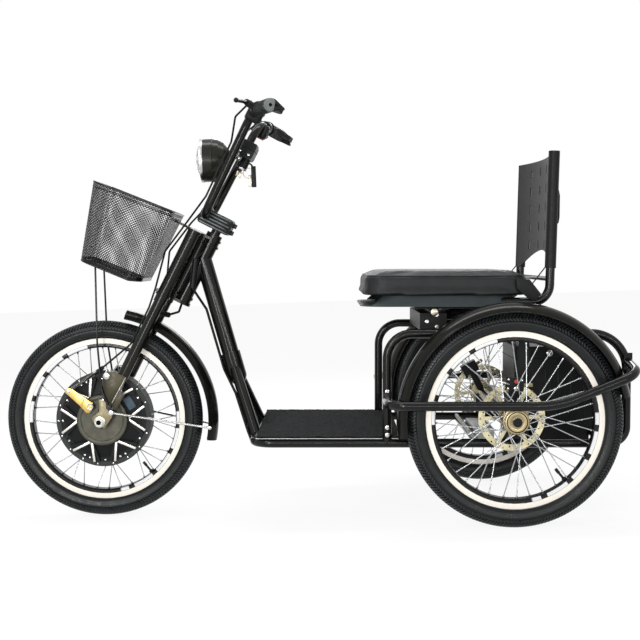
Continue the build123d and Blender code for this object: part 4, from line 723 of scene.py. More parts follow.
@dataclass(frozen=True)
class RimBands:
    """Two-tone rim, bright spokes and the finish of what they are laced to.

    The hub's radius is in millimetres, the others in metres.
    """

    name: str
    centre: Vector
    hub: Colour
    hub_radius: float
    hub_metal: float
    reach: float = 0.22
    black: float = 0.1853
    bright: float = 0.1972
    marks: tuple[float, float] = (0.1885, 0.1968)
    edge: float = 0.0004

    def build(self) -> Material:
        """Nodes that change with the distance from the axle: hub, spoke, black band, bright band."""
        graph = Graph(self.name)
        radius = graph.radius_about(self.centre)
        steel, black, bright = (0.42, 0.43, 0.44), (0.006, 0.006, 0.006), (0.90, 0.85, 0.76)
        places = (0.0, self.hub_radius * MM / self.reach, self.black / self.reach, self.bright / self.reach)
        stops = list(zip(places, (self.hub, steel, black, bright)))
        share = graph.math("DIVIDE", radius, self.reach)
        band = graph.ramp(share, stops, True)
        turn = graph.angle_about(self.centre)
        panels = graph.math("SINE", graph.math("ADD", graph.math("MULTIPLY", turn, 2.0), 2.9))
        dashes = graph.math("SINE", graph.math("ADD", graph.math("MULTIPLY", turn, 17.0), 0.6))
        marked = graph.math("MULTIPLY", graph.span(panels, 0.1, 0.14), graph.span(dashes, -0.78, -0.74))
        low, high = self.marks
        past = graph.span(radius, low, low + self.edge)
        short = graph.span(radius, high, high + self.edge, 1.0, 0.0)
        inside = graph.math("MULTIPLY", past, short)
        band = graph.blend(graph.math("MULTIPLY", marked, inside), band, (0.78, 0.79, 0.8))
        metal = [(at, (level,) * 3) for at, level in zip(places, (self.hub_metal, 0.85, 0.0))]
        graph.set(Base_Color=band, Metallic=graph.ramp(share, metal, True))
        low, high = (self.hub_radius - 1) * MM, (self.hub_radius + 1) * MM
        zone = graph.span(radius, low, high, 0.62 - 0.5 * self.hub_metal, 0.0)
        polish = graph.math("MAXIMUM", zone, graph.span(graph.noise(120.0, 4.0), 0.3, 0.7, 0.16, 0.34))
        graph.set(Roughness=polish, Specular_IOR_Level=0.3)
        return graph.material


@dataclass(frozen=True)
class BrakePlate:
    """Cast drum plate with its zinc-plated lever arm and steel axle."""

    name: str
    centre: Vector

    def build(self) -> Material:
        """Nodes: steel by the axle, cast olive plate, yellow zinc beyond its rim."""
        graph = Graph(self.name)
        radius = graph.radius_about(self.centre)
        grain = graph.noise(300.0, 6.0)
        steel, cast = (0.5, 0.47, 0.4), (0.055, 0.054, 0.042)
        dark, zinc = (0.028, 0.028, 0.024), (0.6, 0.44, 0.15)
        stops = [(0.0, steel), (0.15, cast), (0.53, dark), (0.57, cast), (0.662, zinc)]
        tone = graph.ramp(graph.math("DIVIDE", radius, 0.1), stops, True)
        stain = graph.span(graph.noise(45.0, 4.0), 0.45, 0.7, 0.0, 0.35)
        tone = graph.blend(stain, tone, (0.12, 0.11, 0.08))
        graph.set(Base_Color=tone, Metallic=0.75, Roughness=graph.span(grain, 0.3, 0.75, 0.3, 0.55))
        graph.bump(grain, 0.1, 0.5)
        return graph.material


@dataclass(frozen=True)
class Leather:
    """Black imitation leather with a pebbled grain and soft creases."""

    name: str
    colour: Colour = (0.0068, 0.0078, 0.0082)

    def build(self) -> Material:
        """Nodes with pebbles, creases and a painted sheen, lighter where the creases rise."""
        graph = Graph(self.name)
        pebble = graph.cells(520.0, "SMOOTH_F1")
        crease = graph.noise(26.0, 6.0)
        # Painted sheen: the colour turns lighter where the crease noise, which also lifts the bump, is
        # high.
        shade = graph.blend(graph.span(crease, 0.35, 0.7), self.colour, (0.0115, 0.0128, 0.0134))
        graph.set(Base_Color=shade, Specular_IOR_Level=0.24)
        graph.set(Roughness=graph.span(pebble, 0.0, 0.6, 0.36, 0.55))
        height = graph.math("ADD", pebble, graph.math("MULTIPLY", crease, 1.4))
        graph.bump(height, 0.25, 0.55)
        return graph.material


@dataclass(frozen=True)
class Carpet:
    """Looped needle-felt carpet."""

    name: str

    def build(self) -> Material:
        """Nodes with loops, pale flecks on the fibres as painted glints, and uneven pile."""
        graph = Graph(self.name)
        loops = graph.cells(420.0, "SMOOTH_F1")
        fibre = graph.noise(1500.0, 4.0)
        # Painted glints: pale flecks where the fine fibre noise peaks.
        pile = graph.span(graph.math("MULTIPLY", fibre, graph.noise(260.0, 2.0)), 0.26, 0.4, 0.0, 1.0)
        graph.set(Base_Color=graph.blend(pile, (0.0028, 0.0034, 0.0042), (0.034, 0.038, 0.042)))
        graph.set(Roughness=0.95, Specular_IOR_Level=0.08, Sheen_Weight=0.06, Sheen_Roughness=0.5)
        graph.bump(graph.math("ADD", loops, fibre), 1.6, 0.9)
        return graph.material


@dataclass(frozen=True)
class Glass:
    """Clear moulded cover over a reflector."""

    name: str
    colour: Colour = (0.92, 0.95, 0.95)

    def build(self) -> Material:
        """Nodes: a smoky clear cover with faint flutes."""
        graph = Graph(self.name)
        graph.set(Base_Color=self.colour, Roughness=0.06, Transmission_Weight=0.85, IOR=1.45)
        flutes = graph.add("ShaderNodeTexWave", {"Vector": graph.place, "Scale": 36.0}, bands_direction="Y")
        graph.bump(flutes.outputs[1], 0.1, 0.2)
        return graph.material


@dataclass
class Finishes:
    """Every finish on the vehicle, built once."""

    def __post_init__(self) -> None:
        """Build the materials."""
        black = (0.0032, 0.0034, 0.003)
        self.frame = Paint("frame_enamel", black, (0.0052, 0.0054, 0.0044), 0.15, 0.24).build()
        self.fork = Paint(
            "fork_enamel", (0.0042, 0.0042, 0.0032), (0.0085, 0.008, 0.0052), 0.16, 0.24
        ).build()
        self.guard = Paint("guard_enamel", black, (0.0052, 0.0055, 0.0052), 0.13, 0.24).build()
        self.mudguard = Paint(
            "mudguard_enamel", (0.004, 0.004, 0.003), (0.0068, 0.0064, 0.0046), 0.16, 0.16
        ).build()
        self.satin = Paint(
            "satin_black", (0.006, 0.0062, 0.006), (0.009, 0.0092, 0.0088), 0.42, 0.16
        ).build()
        self.shell = Paint("lamp_shell", (0.009, 0.009, 0.0065), (0.02, 0.0195, 0.014), 0.22, 0.2).build()
        self.pan = Plastic("pan_plastic", (0.022, 0.029, 0.031), 0.42, 500.0, 0.04, 0.3).build()
        self.case = Plastic("case_black", (0.0055, 0.006, 0.006), 0.34, 420.0, 0.05, 0.14).build()
        self.soft_black = Plastic("soft_black", (0.008, 0.0085, 0.0085), 0.55, 900.0, 0.08, 0.2).build()
        self.hose = Plastic("hose_black", (0.0045, 0.0048, 0.005), 0.38, 1500.0, 0.03, 0.2).build()
        self.grip = Plastic("grip_rubber", (0.009, 0.010, 0.0098), 0.45, 800.0, 0.1, 0.16).build()
        self.cap = Plastic("cap_grey", (0.14, 0.16, 0.155), 0.5, 600.0, 0.05, 0.3).build()
        self.slate = Plastic("cover_slate", (0.075, 0.115, 0.15), 0.5, 500.0, 0.03, 0.3).build()
        self.red = Plastic("button_red", (0.42, 0.045, 0.03), 0.35, 600.0, 0.02, 0.4).build()
        # Near-black for the dark seams, and painted shade in the bores, the keyway and the hub cap groove.
        self.void = Plastic("joint_and_bore_shade", (0.002, 0.002, 0.002), 0.7, 500.0, 0.02, 0.1).build()
        self.screen = Plastic("display_dark", (0.006, 0.007, 0.008), 0.12, 200.0, 0.005, 0.4).build()
        self.lit = Plastic("bulb_white", (0.8, 0.8, 0.76), 0.25, 200.0, 0.01, 0.5).build()
        self.bright = Metal("bright_steel", (0.6, 0.6, 0.59), (0.42, 0.41, 0.38), 0.22).build()
        self.machined = Metal(
            "machined_alloy", (0.72, 0.70, 0.67), (0.6, 0.57, 0.52), 0.34, 420.0, 0.03
        ).build()
        self.alloy_nut = Metal("axle_nut", (0.56, 0.55, 0.50), (0.4, 0.38, 0.33), 0.3).build()
        self.nickel = Metal("dull_nickel", (0.5, 0.46, 0.38), (0.34, 0.31, 0.25), 0.32).build()
        self.mirror = Metal(
            "reflector_mirror", (0.9, 0.91, 0.92), (0.8, 0.81, 0.82), 0.1, 60.0, 0.02
        ).build()
        self.dark_steel = Metal("spring_steel", (0.3, 0.3, 0.29), (0.1, 0.1, 0.09), 0.3).build()
        self.olive = Metal(
            "cast_olive", (0.085, 0.083, 0.064), (0.06, 0.058, 0.045), 0.5, 320.0, 0.06, 0.7
        ).build()
        # Light copy of the olive metal for the fork foot's folded edge: a painted highlight.
        self.olive_edge_highlight = Metal("folded_edge_highlight", (0.42, 0.4, 0.32), (0.3, 0.28, 0.2), 0.35).build()
        self.bracket = Metal(
            "bracket_olive", (0.05, 0.045, 0.029), (0.03, 0.027, 0.017), 0.38, 160.0, 0.05, 0.8
        ).build()
        self.beige = Metal(
            "cast_beige", (0.24, 0.21, 0.125), (0.17, 0.145, 0.09), 0.45, 300.0, 0.08, 0.8
        ).build()
        self.brass = Metal(
            "hub_cap_brass", (0.40, 0.33, 0.19), (0.3, 0.24, 0.13), 0.34, 300.0, 0.04
        ).build()
        self.sheet = Metal("zinc_sheet", (0.45, 0.46, 0.46), (0.34, 0.34, 0.33), 0.38).build()
        self.clamp = Metal(
            "clamp_alloy", (0.014, 0.016, 0.016), (0.008, 0.009, 0.009), 0.42, 420.0, 0.06
        ).build()
        # Lighter copy of the clamp's black alloy for its ribs: painted highlights.
        self.rib = Metal("clamp_rib_highlight", (0.12, 0.13, 0.13), (0.07, 0.075, 0.075), 0.4, 420.0, 0.06).build()
        self.zinc = Metal("yellow_zinc", (0.72, 0.5, 0.16), (0.6, 0.36, 0.1), 0.34).build()
        self.disc = Metal("disc_steel", (0.74, 0.68, 0.46), (0.52, 0.45, 0.26), 0.26, 500.0, 0.02).build()
        self.case_alloy = Metal(
            "controller_alloy", (0.36, 0.37, 0.36), (0.26, 0.27, 0.26), 0.45, 300.0, 0.06
        ).build()
        self.motor = Paint(
            "motor_satin", (0.0048, 0.0054, 0.0056), (0.008, 0.0088, 0.009), 0.4, 0.14
        ).build()
        self.leather = Leather("seat_leather").build()
        self.carpet = Carpet("mat_carpet").build()
        self.glass = Glass("lamp_glass").build()

    def dress(self, finish: Material, *nodes: str) -> None:
        """Give frame nodes a finish through their own slots."""
        for node in nodes:
            piece = bpy.data.objects[node]
            if not piece.material_slots:
                piece.data.materials.append(finish)
            for place in piece.material_slots:
                place.material = finish


def fit(
    piece: Piece, finish: Material, body: str, frame: Matrix | None = None
) -> Piece:
    """Dress a new piece and let it ride.

    Args:
        piece: the piece, finished and in place.
        finish: its material.
        body: the body it moves with.
        frame: the local frame it was modelled in, if not the row's.

    Returns:
        The piece.
    """
    if frame is not None:
        piece.data.transform(frame)
    piece.data.materials.clear()
    piece.data.materials.append(finish)
    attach(piece, body)
    LOG.info("%s rides on %s", piece.name, body)
    return piece


# ------------------------------------------------------------------ studio
@dataclass
class Studio:
    """Camera, lamps, white surroundings and a pale floor."""

    eye: Point = (0.0705, -2.989, 0.651)
    yaw: float = -0.55
    pitch: float = 3.0
    roll: float = -2.11
    lens: float = 64.21
    sensor: float = 36.0
    ambient: float = 0.46
    floor_size: float = 30.0
    floor_drop: float = 0.5
    floor_tone: float = 0.82
    floor_glow: float = 1.06
    floor_share: float = 0.84
    lamps: tuple = (
        ("front_strip", (0.25, -3.0, 0.72), (0.25, 0.0, 0.72), (3.8, 0.1), 30.0),
        ("side_strip", (-0.95, -2.9, 0.85), (-0.2, 0.0, 0.6), (0.2, 2.0), 30.0),
        ("key_softbox", (-1.7, -2.6, 2.7), (0.0, 0.0, 0.5), (0.5, 2.2), 22.0),
        ("top_softbox", (0.1, 0.1, 3.0), (0.1, 0.0, 0.0), (2.6, 0.5), 36.0),
        ("back_softbox", (0.4, 2.8, 2.0), (0.0, 0.0, 0.4), (2.2, 0.5), 26.0),
    )

    def camera(self) -> None:
        """Set up the camera across the vehicle's left side."""
        yaw, pitch, roll = (math.radians(turn) for turn in (self.yaw, self.pitch, self.roll))
        ahead = Vector((math.sin(yaw) * math.cos(pitch), math.cos(yaw) * math.cos(pitch), -math.sin(pitch)))
        level = Vector((math.cos(yaw), -math.sin(yaw), 0))
        upright = level.cross(ahead)
        across = level * math.cos(roll) + upright * math.sin(roll)
        up = upright * math.cos(roll) - level * math.sin(roll)
        bpy.ops.object.camera_add(location=self.eye)
        camera = bpy.context.object
        camera.name = "main_camera"
        camera.data.lens = self.lens
        camera.data.sensor_width = self.sensor
        turn = Matrix((across, up, -ahead)).transposed().to_4x4()
        camera.matrix_world = Matrix.Translation(self.eye) @ turn
        bpy.context.scene.camera = camera

    def lamp(self, name: str, at: Point, towards: Point, size: tuple[float, float], watts: float) -> None:
        """Add one softbox.

        Args:
            name: the lamp's name.
            at: where it stands, in metres.
            towards: the point it faces.
            size: its length and width in metres.
            watts: its power.
        """
        bpy.ops.object.light_add(type="AREA", location=at)
        lamp = bpy.context.object
        lamp.name = name
        lamp.data.shape = "RECTANGLE"
        lamp.data.size, lamp.data.size_y = size
        lamp.data.energy = watts
        lamp.rotation_euler = (Vector(towards) - Vector(at)).to_track_quat("-Z", "Y").to_euler()

    def world(self) -> None:
        """White surroundings for what looks out, and a plain grey glow for the rest."""
        world = bpy.data.worlds.new("studio")
        world.use_nodes = True
        bpy.context.scene.world = world
        tree = world.node_tree
        glow = tree.nodes["Background"]
        rays = tree.nodes.new("ShaderNodeLightPath")
        seen, shown = (tree.nodes.new("ShaderNodeMath") for _ in range(2))
        seen.operation = shown.operation = "MAXIMUM"
        level = tree.nodes.new("ShaderNodeMapRange")
        level.inputs[3].default_value = self.ambient
        level.inputs[4].default_value = 1.0
        tree.links.new(rays.outputs["Is Camera Ray"], seen.inputs[0])
        tree.links.new(rays.outputs["Is Glossy Ray"], seen.inputs[1])
        tree.links.new(seen.outputs[0], shown.inputs[0])
        tree.links.new(rays.outputs["Is Transmission Ray"], shown.inputs[1])
        tree.links.new(shown.outputs[0], level.inputs[0])
        tree.links.new(level.outputs[0], glow.inputs["Strength"])
        glow.inputs["Color"].default_value = (1.0, 1.0, 1.0, 1.0)

    def floor(self) -> None:
        """Pale floor that keeps a soft shadow."""
        idle()
        bpy.ops.mesh.primitive_plane_add(size=self.floor_size, location=mm(0, 0, -self.floor_drop))
        floor = settle("studio_floor")
        graph = Graph("studio_floor")
        graph.set(Base_Color=(self.floor_tone,) * 3, Roughness=0.9, Specular_IOR_Level=0.0)
        glow = graph.add("ShaderNodeEmission", {"Strength": self.floor_glow})
        rays = graph.add("ShaderNodeLightPath")
        seen = graph.math("MAXIMUM", rays.outputs["Is Camera Ray"], rays.outputs["Is Glossy Ray"])
        seen = graph.math("MAXIMUM", seen, rays.outputs["Is Transmission Ray"])
        share = graph.math("MULTIPLY", seen, self.floor_share)
        mix = graph.add("ShaderNodeMixShader", {0: share})
        graph.tree.links.new(graph.shader.outputs[0], mix.inputs[1])
        graph.tree.links.new(glow.outputs[0], mix.inputs[2])
        output = next(node for node in graph.tree.nodes if node.type == "OUTPUT_MATERIAL")
        graph.tree.links.new(mix.outputs[0], output.inputs[0])
        floor.data.materials.append(graph.material)

    def build(self) -> None:
        """Set up camera, world, floor and lamps."""
        bpy.context.scene.view_settings.view_transform = "Standard"
        self.camera()
        self.world()
        self.floor()
        for lamp in self.lamps:
            self.lamp(*lamp)


# ------------------------------------------------------------------ wheels
@dataclass
class Tyre:
    """Tyre of one wheel: carcass with moulded wall rings, and rows of tread lugs."""

    node: str
    body: str
    centre: Vector
    radius: float = 257.0
    section: float = 27.0
    bead: float = 211.7
    foot: float = 204.2
    seat: float = 12.1
    lug_depth: float = 2.4
    pitches: int = 96
    wall_drop: float = 0.4
    rings: tuple = ((87, 0.0), (90, 0.1), (93, 0.0), (118, 0.2), (121, 0.0), (124, 0.2))
    rows: tuple = (
        (2.5, 15, 0.0, 0.1, 0.18, 0.34),
        (18, 36, 0.25, 0.0, -0.2, 0.36),
        (39, 58, 0.12, 0.0, 0.34, 0.30),
        (61, 78, 0.5, 0.0, -0.34, 0.31),
    )

    @property
    def crown(self) -> float:
        """Radius of the middle of the section."""
        return self.radius - self.section

    def on_section(self, turn: float, lean: float, reach: float) -> Vector:
        """Place on the section.

        Args:
            turn: angle round the axle, in degrees.
            lean: angle round the section from the crown, in degrees.
            reach: distance from the section's middle, in millimetres.

        Returns:
            The place, from the wheel's middle.
        """
        turn, lean = math.radians(turn), math.radians(lean)
        out = self.crown + reach * math.cos(lean)
        return Vector((out * math.cos(turn), reach * math.sin(lean), out * math.sin(turn))) * MM

    def carcass(self) -> Piece:
        """Turned carcass, lower under the tread, with two rings moulded on each wall."""
        end = math.degrees(math.acos((self.bead - self.crown) / (self.section - self.wall_drop)))
        walls = []
        for lean in range(0, 133, 6):
            under = self.lug_depth * (1.0 if lean < 76 else max(0.0, (84 - lean) / 8))
            walls.append((lean, self.section - 0.3 - under))
        walls += [(lean, self.section - below) for lean, below in (*self.rings, (end, self.wall_drop))]
        walls.sort()
        points = []
        for lean, reach in walls:
            if lean <= end:
                turn = math.radians(lean)
                points.append((self.crown + reach * math.cos(turn), reach * math.sin(turn)))
        left = [(radius, -y) for radius, y in reversed(points[1:])]
        inner = [(radius, self.seat) for radius in (self.bead, self.foot)]
        inner += [(radius, -self.seat) for radius in (self.foot, self.bead)]
        piece = lathe("carcass", left + points + inner, Matrix.Translation(self.centre), 144)
        return smooth(piece, 50)

    def lug(self, low: float, high: float, start: float, slant: float, width: float) -> Piece:
        """One tread lug wrapped on the section.

        Args:
            low: lean of its inner end, in degrees.
            high: lean of its outer end.
            start: angle of its middle at the inner end, as a share of a pitch.
            slant: how far the outer end trails, as a share of a pitch.
            width: its width along the tread, as a share of a pitch.

        Returns:
            The lug, from the wheel's middle.
        """
        idle()
        bpy.ops.mesh.primitive_cube_add(size=1)
        piece = settle("lug")
        if abs(high - low) > 14:
            with Edit(piece, "EDGE") as work:
                work.edges(lambda edge: abs(edge.verts[0].co.y - edge.verts[1].co.y) > 0.5)
                bpy.ops.mesh.subdivide(number_cuts=1)
        pitch = 360 / self.pitches
        for corner in piece.data.vertices:
            along, across, rise = corner.co.x, corner.co.y + 0.5, corner.co.z
            lean = low + (high - low) * across
            ease = 0.86 if rise > 0 else 1.0
            turn = (start + slant * across + along * width * ease) * pitch
            reach = self.section - 0.15 if rise > 0 else self.section - self.lug_depth - 1.4
            corner.co = self.on_section(turn, lean, reach)
        with Edit(piece):
            face_out()
        return piece

    def tread(self) -> Piece:
        """All lugs: four rows a side, slanted by turns, two lugs a pitch."""
        lugs = []
        for half in (0.0, 0.5):
            for sign in (-1, 1):
                for low, high, start, stagger, slant, width in self.rows:
                    first = half + start + stagger * sign
                    lugs.append(self.lug(sign * low, sign * high, first, slant, width))
        master = join("lugs", lugs)
        master.data.transform(Matrix.Translation(self.centre))
        return repeat("lugs", master, around(self.centre, self.pitches))

    def build(self) -> None:
        """Model and dress the tyre in place of the plain ring."""
        rubber = TyreRubber(f"{self.node}_rubber", self.centre).build()
        piece = join(f"{self.node}_treaded", [self.carcass(), self.tread()])
        fit(piece, rubber, self.body)
        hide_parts(self.node)


@dataclass
class Rim:
    """Finish of one rim with its valve and the spoke heads at the hub."""

    node: str
    body: str
    centre: Vector
    hub: Colour
    hub_radius: float
    hub_metal: float
    head_radius: float
    head_faces: tuple[float, ...]
    heads: int = 36
    valve_angle: float = -52.0
    valve_radii: tuple[float, ...] = (188.0, 156.0, 166.0, 153.0)

    def valve(self) -> Piece:
        """Rubber valve stem with its cap, pointing to the axle."""
        out = ray(self.valve_angle)
        root, tip, low, high = (self.centre + out * radius * MM for radius in self.valve_radii)
        stem = rod("stem", root, tip, 3.0, 14, 0.6)
        collar = rod("collar", root, root - out * 7 * MM, 5.2, 16, 1.0)
        cap = rod("cap", low, high, 3.9, 12, 1.0)
        return join(f"{self.node}_valve", [stem, collar, cap])

    def build(self, finishes: Finishes) -> None:
        """Dress the rim and add its small pieces."""
        bands = RimBands(f"{self.node}_bands", self.centre, self.hub, self.hub_radius, self.hub_metal)
        finishes.dress(bands.build(), self.node)
        fit(self.valve(), finishes.hose, self.body)
        master = rod("head", Vector((0, 0, -1.5 * MM)), Vector((0, 0, 1.3 * MM)), 2.6, 8, 0.9)
        places = []
        for index in range(self.heads):
            out = ray(index * 360 / self.heads) * self.head_radius * MM
            for y in self.head_faces:
                away = Vector((0, 1 if y > 0 else -1, 0))
                places.append(aim(self.centre + out + Vector((0, y * MM, 0)), away))
        fit(repeat(f"{self.node}_spoke_heads", master, places), finishes.bright, self.body)


# ------------------------------------------------------------------ basket
@dataclass
class Basket:
    """Wire basket: strands wrapped round its tapered form, rim wires and a foot band.

    Sizes are in millimetres along the steering axis and across it.
    """

    rear: float = -106.0
    top_front: float = -325.0
    bottom_front: float = -270.0
    top_half: float = 129.5
    bottom_half: float = 106.0
    corner: float = 32.0
    strand: float = 1.5
    strand_depth: float = 0.45
    pitch: float = 5.2
    height: float = 200.0
    band: float = 10.0
    hoops: tuple = ((0.988, 2.5, 1.9), (0.935, 1.5, 1.4), (0.012, 2.4, 2.1))

    def foot_rise(self, x: float) -> float:
        """Height of the sloping floor at an x."""
        kink, low, middle, high = -135.0, 350.0, 360.0, 371.0
        if x < kink:
            return low + (middle - low) * (x - self.bottom_front) / (kink - self.bottom_front)
        return middle + (high - middle) * (x - kink) / (self.rear - kink)

    def rim_rise(self, x: float) -> float:
        """Height of the rim at an x."""
        return 549.0 + 19.0 * (x - self.top_front) / (self.rear - self.top_front)

    def girth(self) -> float:
        """Length round the basket at half its height."""
        length = self.rear - (self.top_front + self.bottom_front) / 2
        width = self.top_half + self.bottom_half
        return 2 * (length + width) - (8 - 2 * math.pi) * self.corner

    def ring(self, share: float, front: float, half: float, inset: float) -> tuple[float, float]:
        """Point of a rounded outline.

        Args:
            share: how far round it, from the middle of the rear side.
            front: x of the front side.
            half: half of the width.
            inset: how far inside the outline.

        Returns:
            Its x and y.
        """
        corner = self.corner
        length, width = self.rear - front - 2 * corner, 2 * half - 2 * corner
        arc = math.pi / 2 * corner
        runs = (width / 2, arc, length, arc, width, arc, length, arc, width / 2)
        middle = [1.0] * len(runs)
        mean_length = self.rear - (self.top_front + self.bottom_front) / 2 - 2 * corner
        mean_width = self.top_half + self.bottom_half - 2 * corner
        for index, kind in enumerate(("w", "a", "l", "a", "ww", "a", "l", "a", "w")):
            middle[index] = {"w": mean_width / 2, "ww": mean_width, "a": arc, "l": mean_length}[kind]
        reach = (share % 1.0) * sum(middle)
        index = 0
        while reach > middle[index] and index < len(middle) - 1:
            reach -= middle[index]
            index += 1
        part = reach / middle[index]
        x, y, turn = self.rear, 0.0, math.pi / 2
        for step in range(index + 1):
            run = runs[step] * (part if step == index else 1.0)
            if step % 2:
                bend = run / corner
                centre_x = x + corner * math.cos(turn + math.pi / 2)
                centre_y = y + corner * math.sin(turn + math.pi / 2)
                turn += bend
                x = centre_x - corner * math.cos(turn + math.pi / 2)
                y = centre_y - corner * math.sin(turn + math.pi / 2)
            else:
                x += run * math.cos(turn)
                y += run * math.sin(turn)
        inward = turn + math.pi / 2
        return x + inset * math.cos(inward), y + inset * math.sin(inward)

    def wall(self, along: float, rise: float, inset: float) -> Vector:
        """Place on the wall.

        Args:
            along: distance round the basket in millimetres.
            rise: height as a share of the wall.
            inset: how far inside.

        Returns:
            The place in the row frame.
        """
        share = along / self.girth()
        low_x, low_y = self.ring(share, self.bottom_front, self.bottom_half, inset)
        high_x, high_y = self.ring(share, self.top_front, self.top_half, inset)
        low = Vector((low_x, low_y, self.foot_rise(min(self.rear, max(self.bottom_front, low_x)))))
        high = Vector((high_x, high_y, self.rim_rise(high_x)))
        return STANCE.steering(*low.lerp(high, rise))

    def strands(self, name: str, length: float, height: float, lean: float, steps: int) -> Piece:
        """Flat field of slanted strands, standing on X with its foot at zero.

        Args:
            name: the field's name.
            length: its length in millimetres.
            height: its height in millimetres.
            lean: slant of the strands in degrees.
            steps: how many pieces each strand is cut into.

        Returns:
            The field, one unit a millimetre.
        """
        idle()
        bpy.ops.mesh.primitive_cube_add(size=1, scale=(height * 1.5, self.strand_depth, self.strand))
        piece = settle(name)
        with Edit(piece, "EDGE") as work:
            work.edges(lambda edge: abs(edge.verts[0].co.x - edge.verts[1].co.x) > height)
            bpy.ops.mesh.subdivide(number_cuts=steps)
            pick_all()
            bpy.ops.transform.rotate(value=math.radians(lean), orient_axis="Y", center_override=(0, 0, 0))
            bpy.ops.transform.translate(value=(0, 0, height / 2))
        stride = self.pitch * math.sqrt(2)
        modify(
            piece, "row", "ARRAY", use_relative_offset=False, use_constant_offset=True,
            constant_offset_displace=(stride, 0, 0), count=round(length / stride),
        )
        with Edit(piece):
            for foot, away in ((0.0, -1.0), (height, 1.0)):
                pick_all()
                cut_off((0, 0, foot), (0, 0, away))
        return piece

    def side_mesh(self) -> Piece:
        """Strands of the wall, both ways."""
        fields = []
        for lean in (45, -45):
            field = self.strands("wall_strands", self.girth(), self.height, lean, 26)
            for corner in field.data.vertices:
                inset = 1.2 + corner.co.y + math.copysign(self.strand_depth / 3, lean)
                corner.co = self.wall(corner.co.x, corner.co.z / self.height, inset)
            fields.append(field)
        return join("wall_strands", fields)

    def floor_mesh(self) -> Piece:
        """Strands of the floor, both ways."""
        length = self.rear - self.bottom_front - 6
        width = 2 * self.bottom_half - 6
        fields = []
        for lean in (45, -45):
            field = self.strands("floor_strands", width + length, length, lean, 6)
            with Edit(field):
                for edge, away in ((0.0, -1.0), (width, 1.0)):
                    pick_all()
                    start = (edge + length / 2, 0, 0)
                    cut_off(start, (away, 0, 0))
            for corner in field.data.vertices:
                x = self.bottom_front + 3 + corner.co.z
                y = corner.co.x - length / 2 - width / 2
                limit = self.bottom_half - 3 - self.corner * 0.5 * max(0.0, 1 - corner.co.z / 20)
                rise = self.foot_rise(x) + 1.4 + corner.co.y
                corner.co = STANCE.steering(x, max(-limit, min(limit, y)), rise)
            fields.append(field)
        return join("floor_strands", fields)

    def hoop(self, rise: float, radius: float, inset: float) -> Piece:
        """Closed wire round the wall at a height."""
        count = 96
        points = [self.wall(index * self.girth() / count, rise, inset) for index in range(count + 1)]
        return wire("hoop", points, radius, False, 2)

    def foot_band(self) -> Piece:
        """Flat strip round the foot."""
        idle()
        bpy.ops.mesh.primitive_cube_add(size=1, scale=(self.girth(), 1.2, self.band))
        piece = settle("foot_band")
        with Edit(piece, "EDGE") as work:
            work.edges(lambda edge: abs(edge.verts[0].co.x - edge.verts[1].co.x) > 1)
            bpy.ops.mesh.subdivide(number_cuts=119)
        for corner in piece.data.vertices:
            rise = (corner.co.z + self.band / 2 + 0.5) / self.height
            corner.co = self.wall(corner.co.x + self.girth() / 2, rise, 1.2 + corner.co.y)
        with Edit(piece):
            face_out(True)
        return smooth(piece)

    def build(self, finishes: Finishes) -> None:
        """Model and dress the basket in place of the closed form."""
        mesh = join("basket_mesh", [self.side_mesh(), self.floor_mesh()])
        with Edit(mesh):
            face_out()
        fit(mesh, finishes.guard, "steering")
        rims = join("basket_rims", [self.hoop(*sizes) for sizes in self.hoops] + [self.foot_band()])
        fit(rims, finishes.guard, "steering")
        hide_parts("basket")


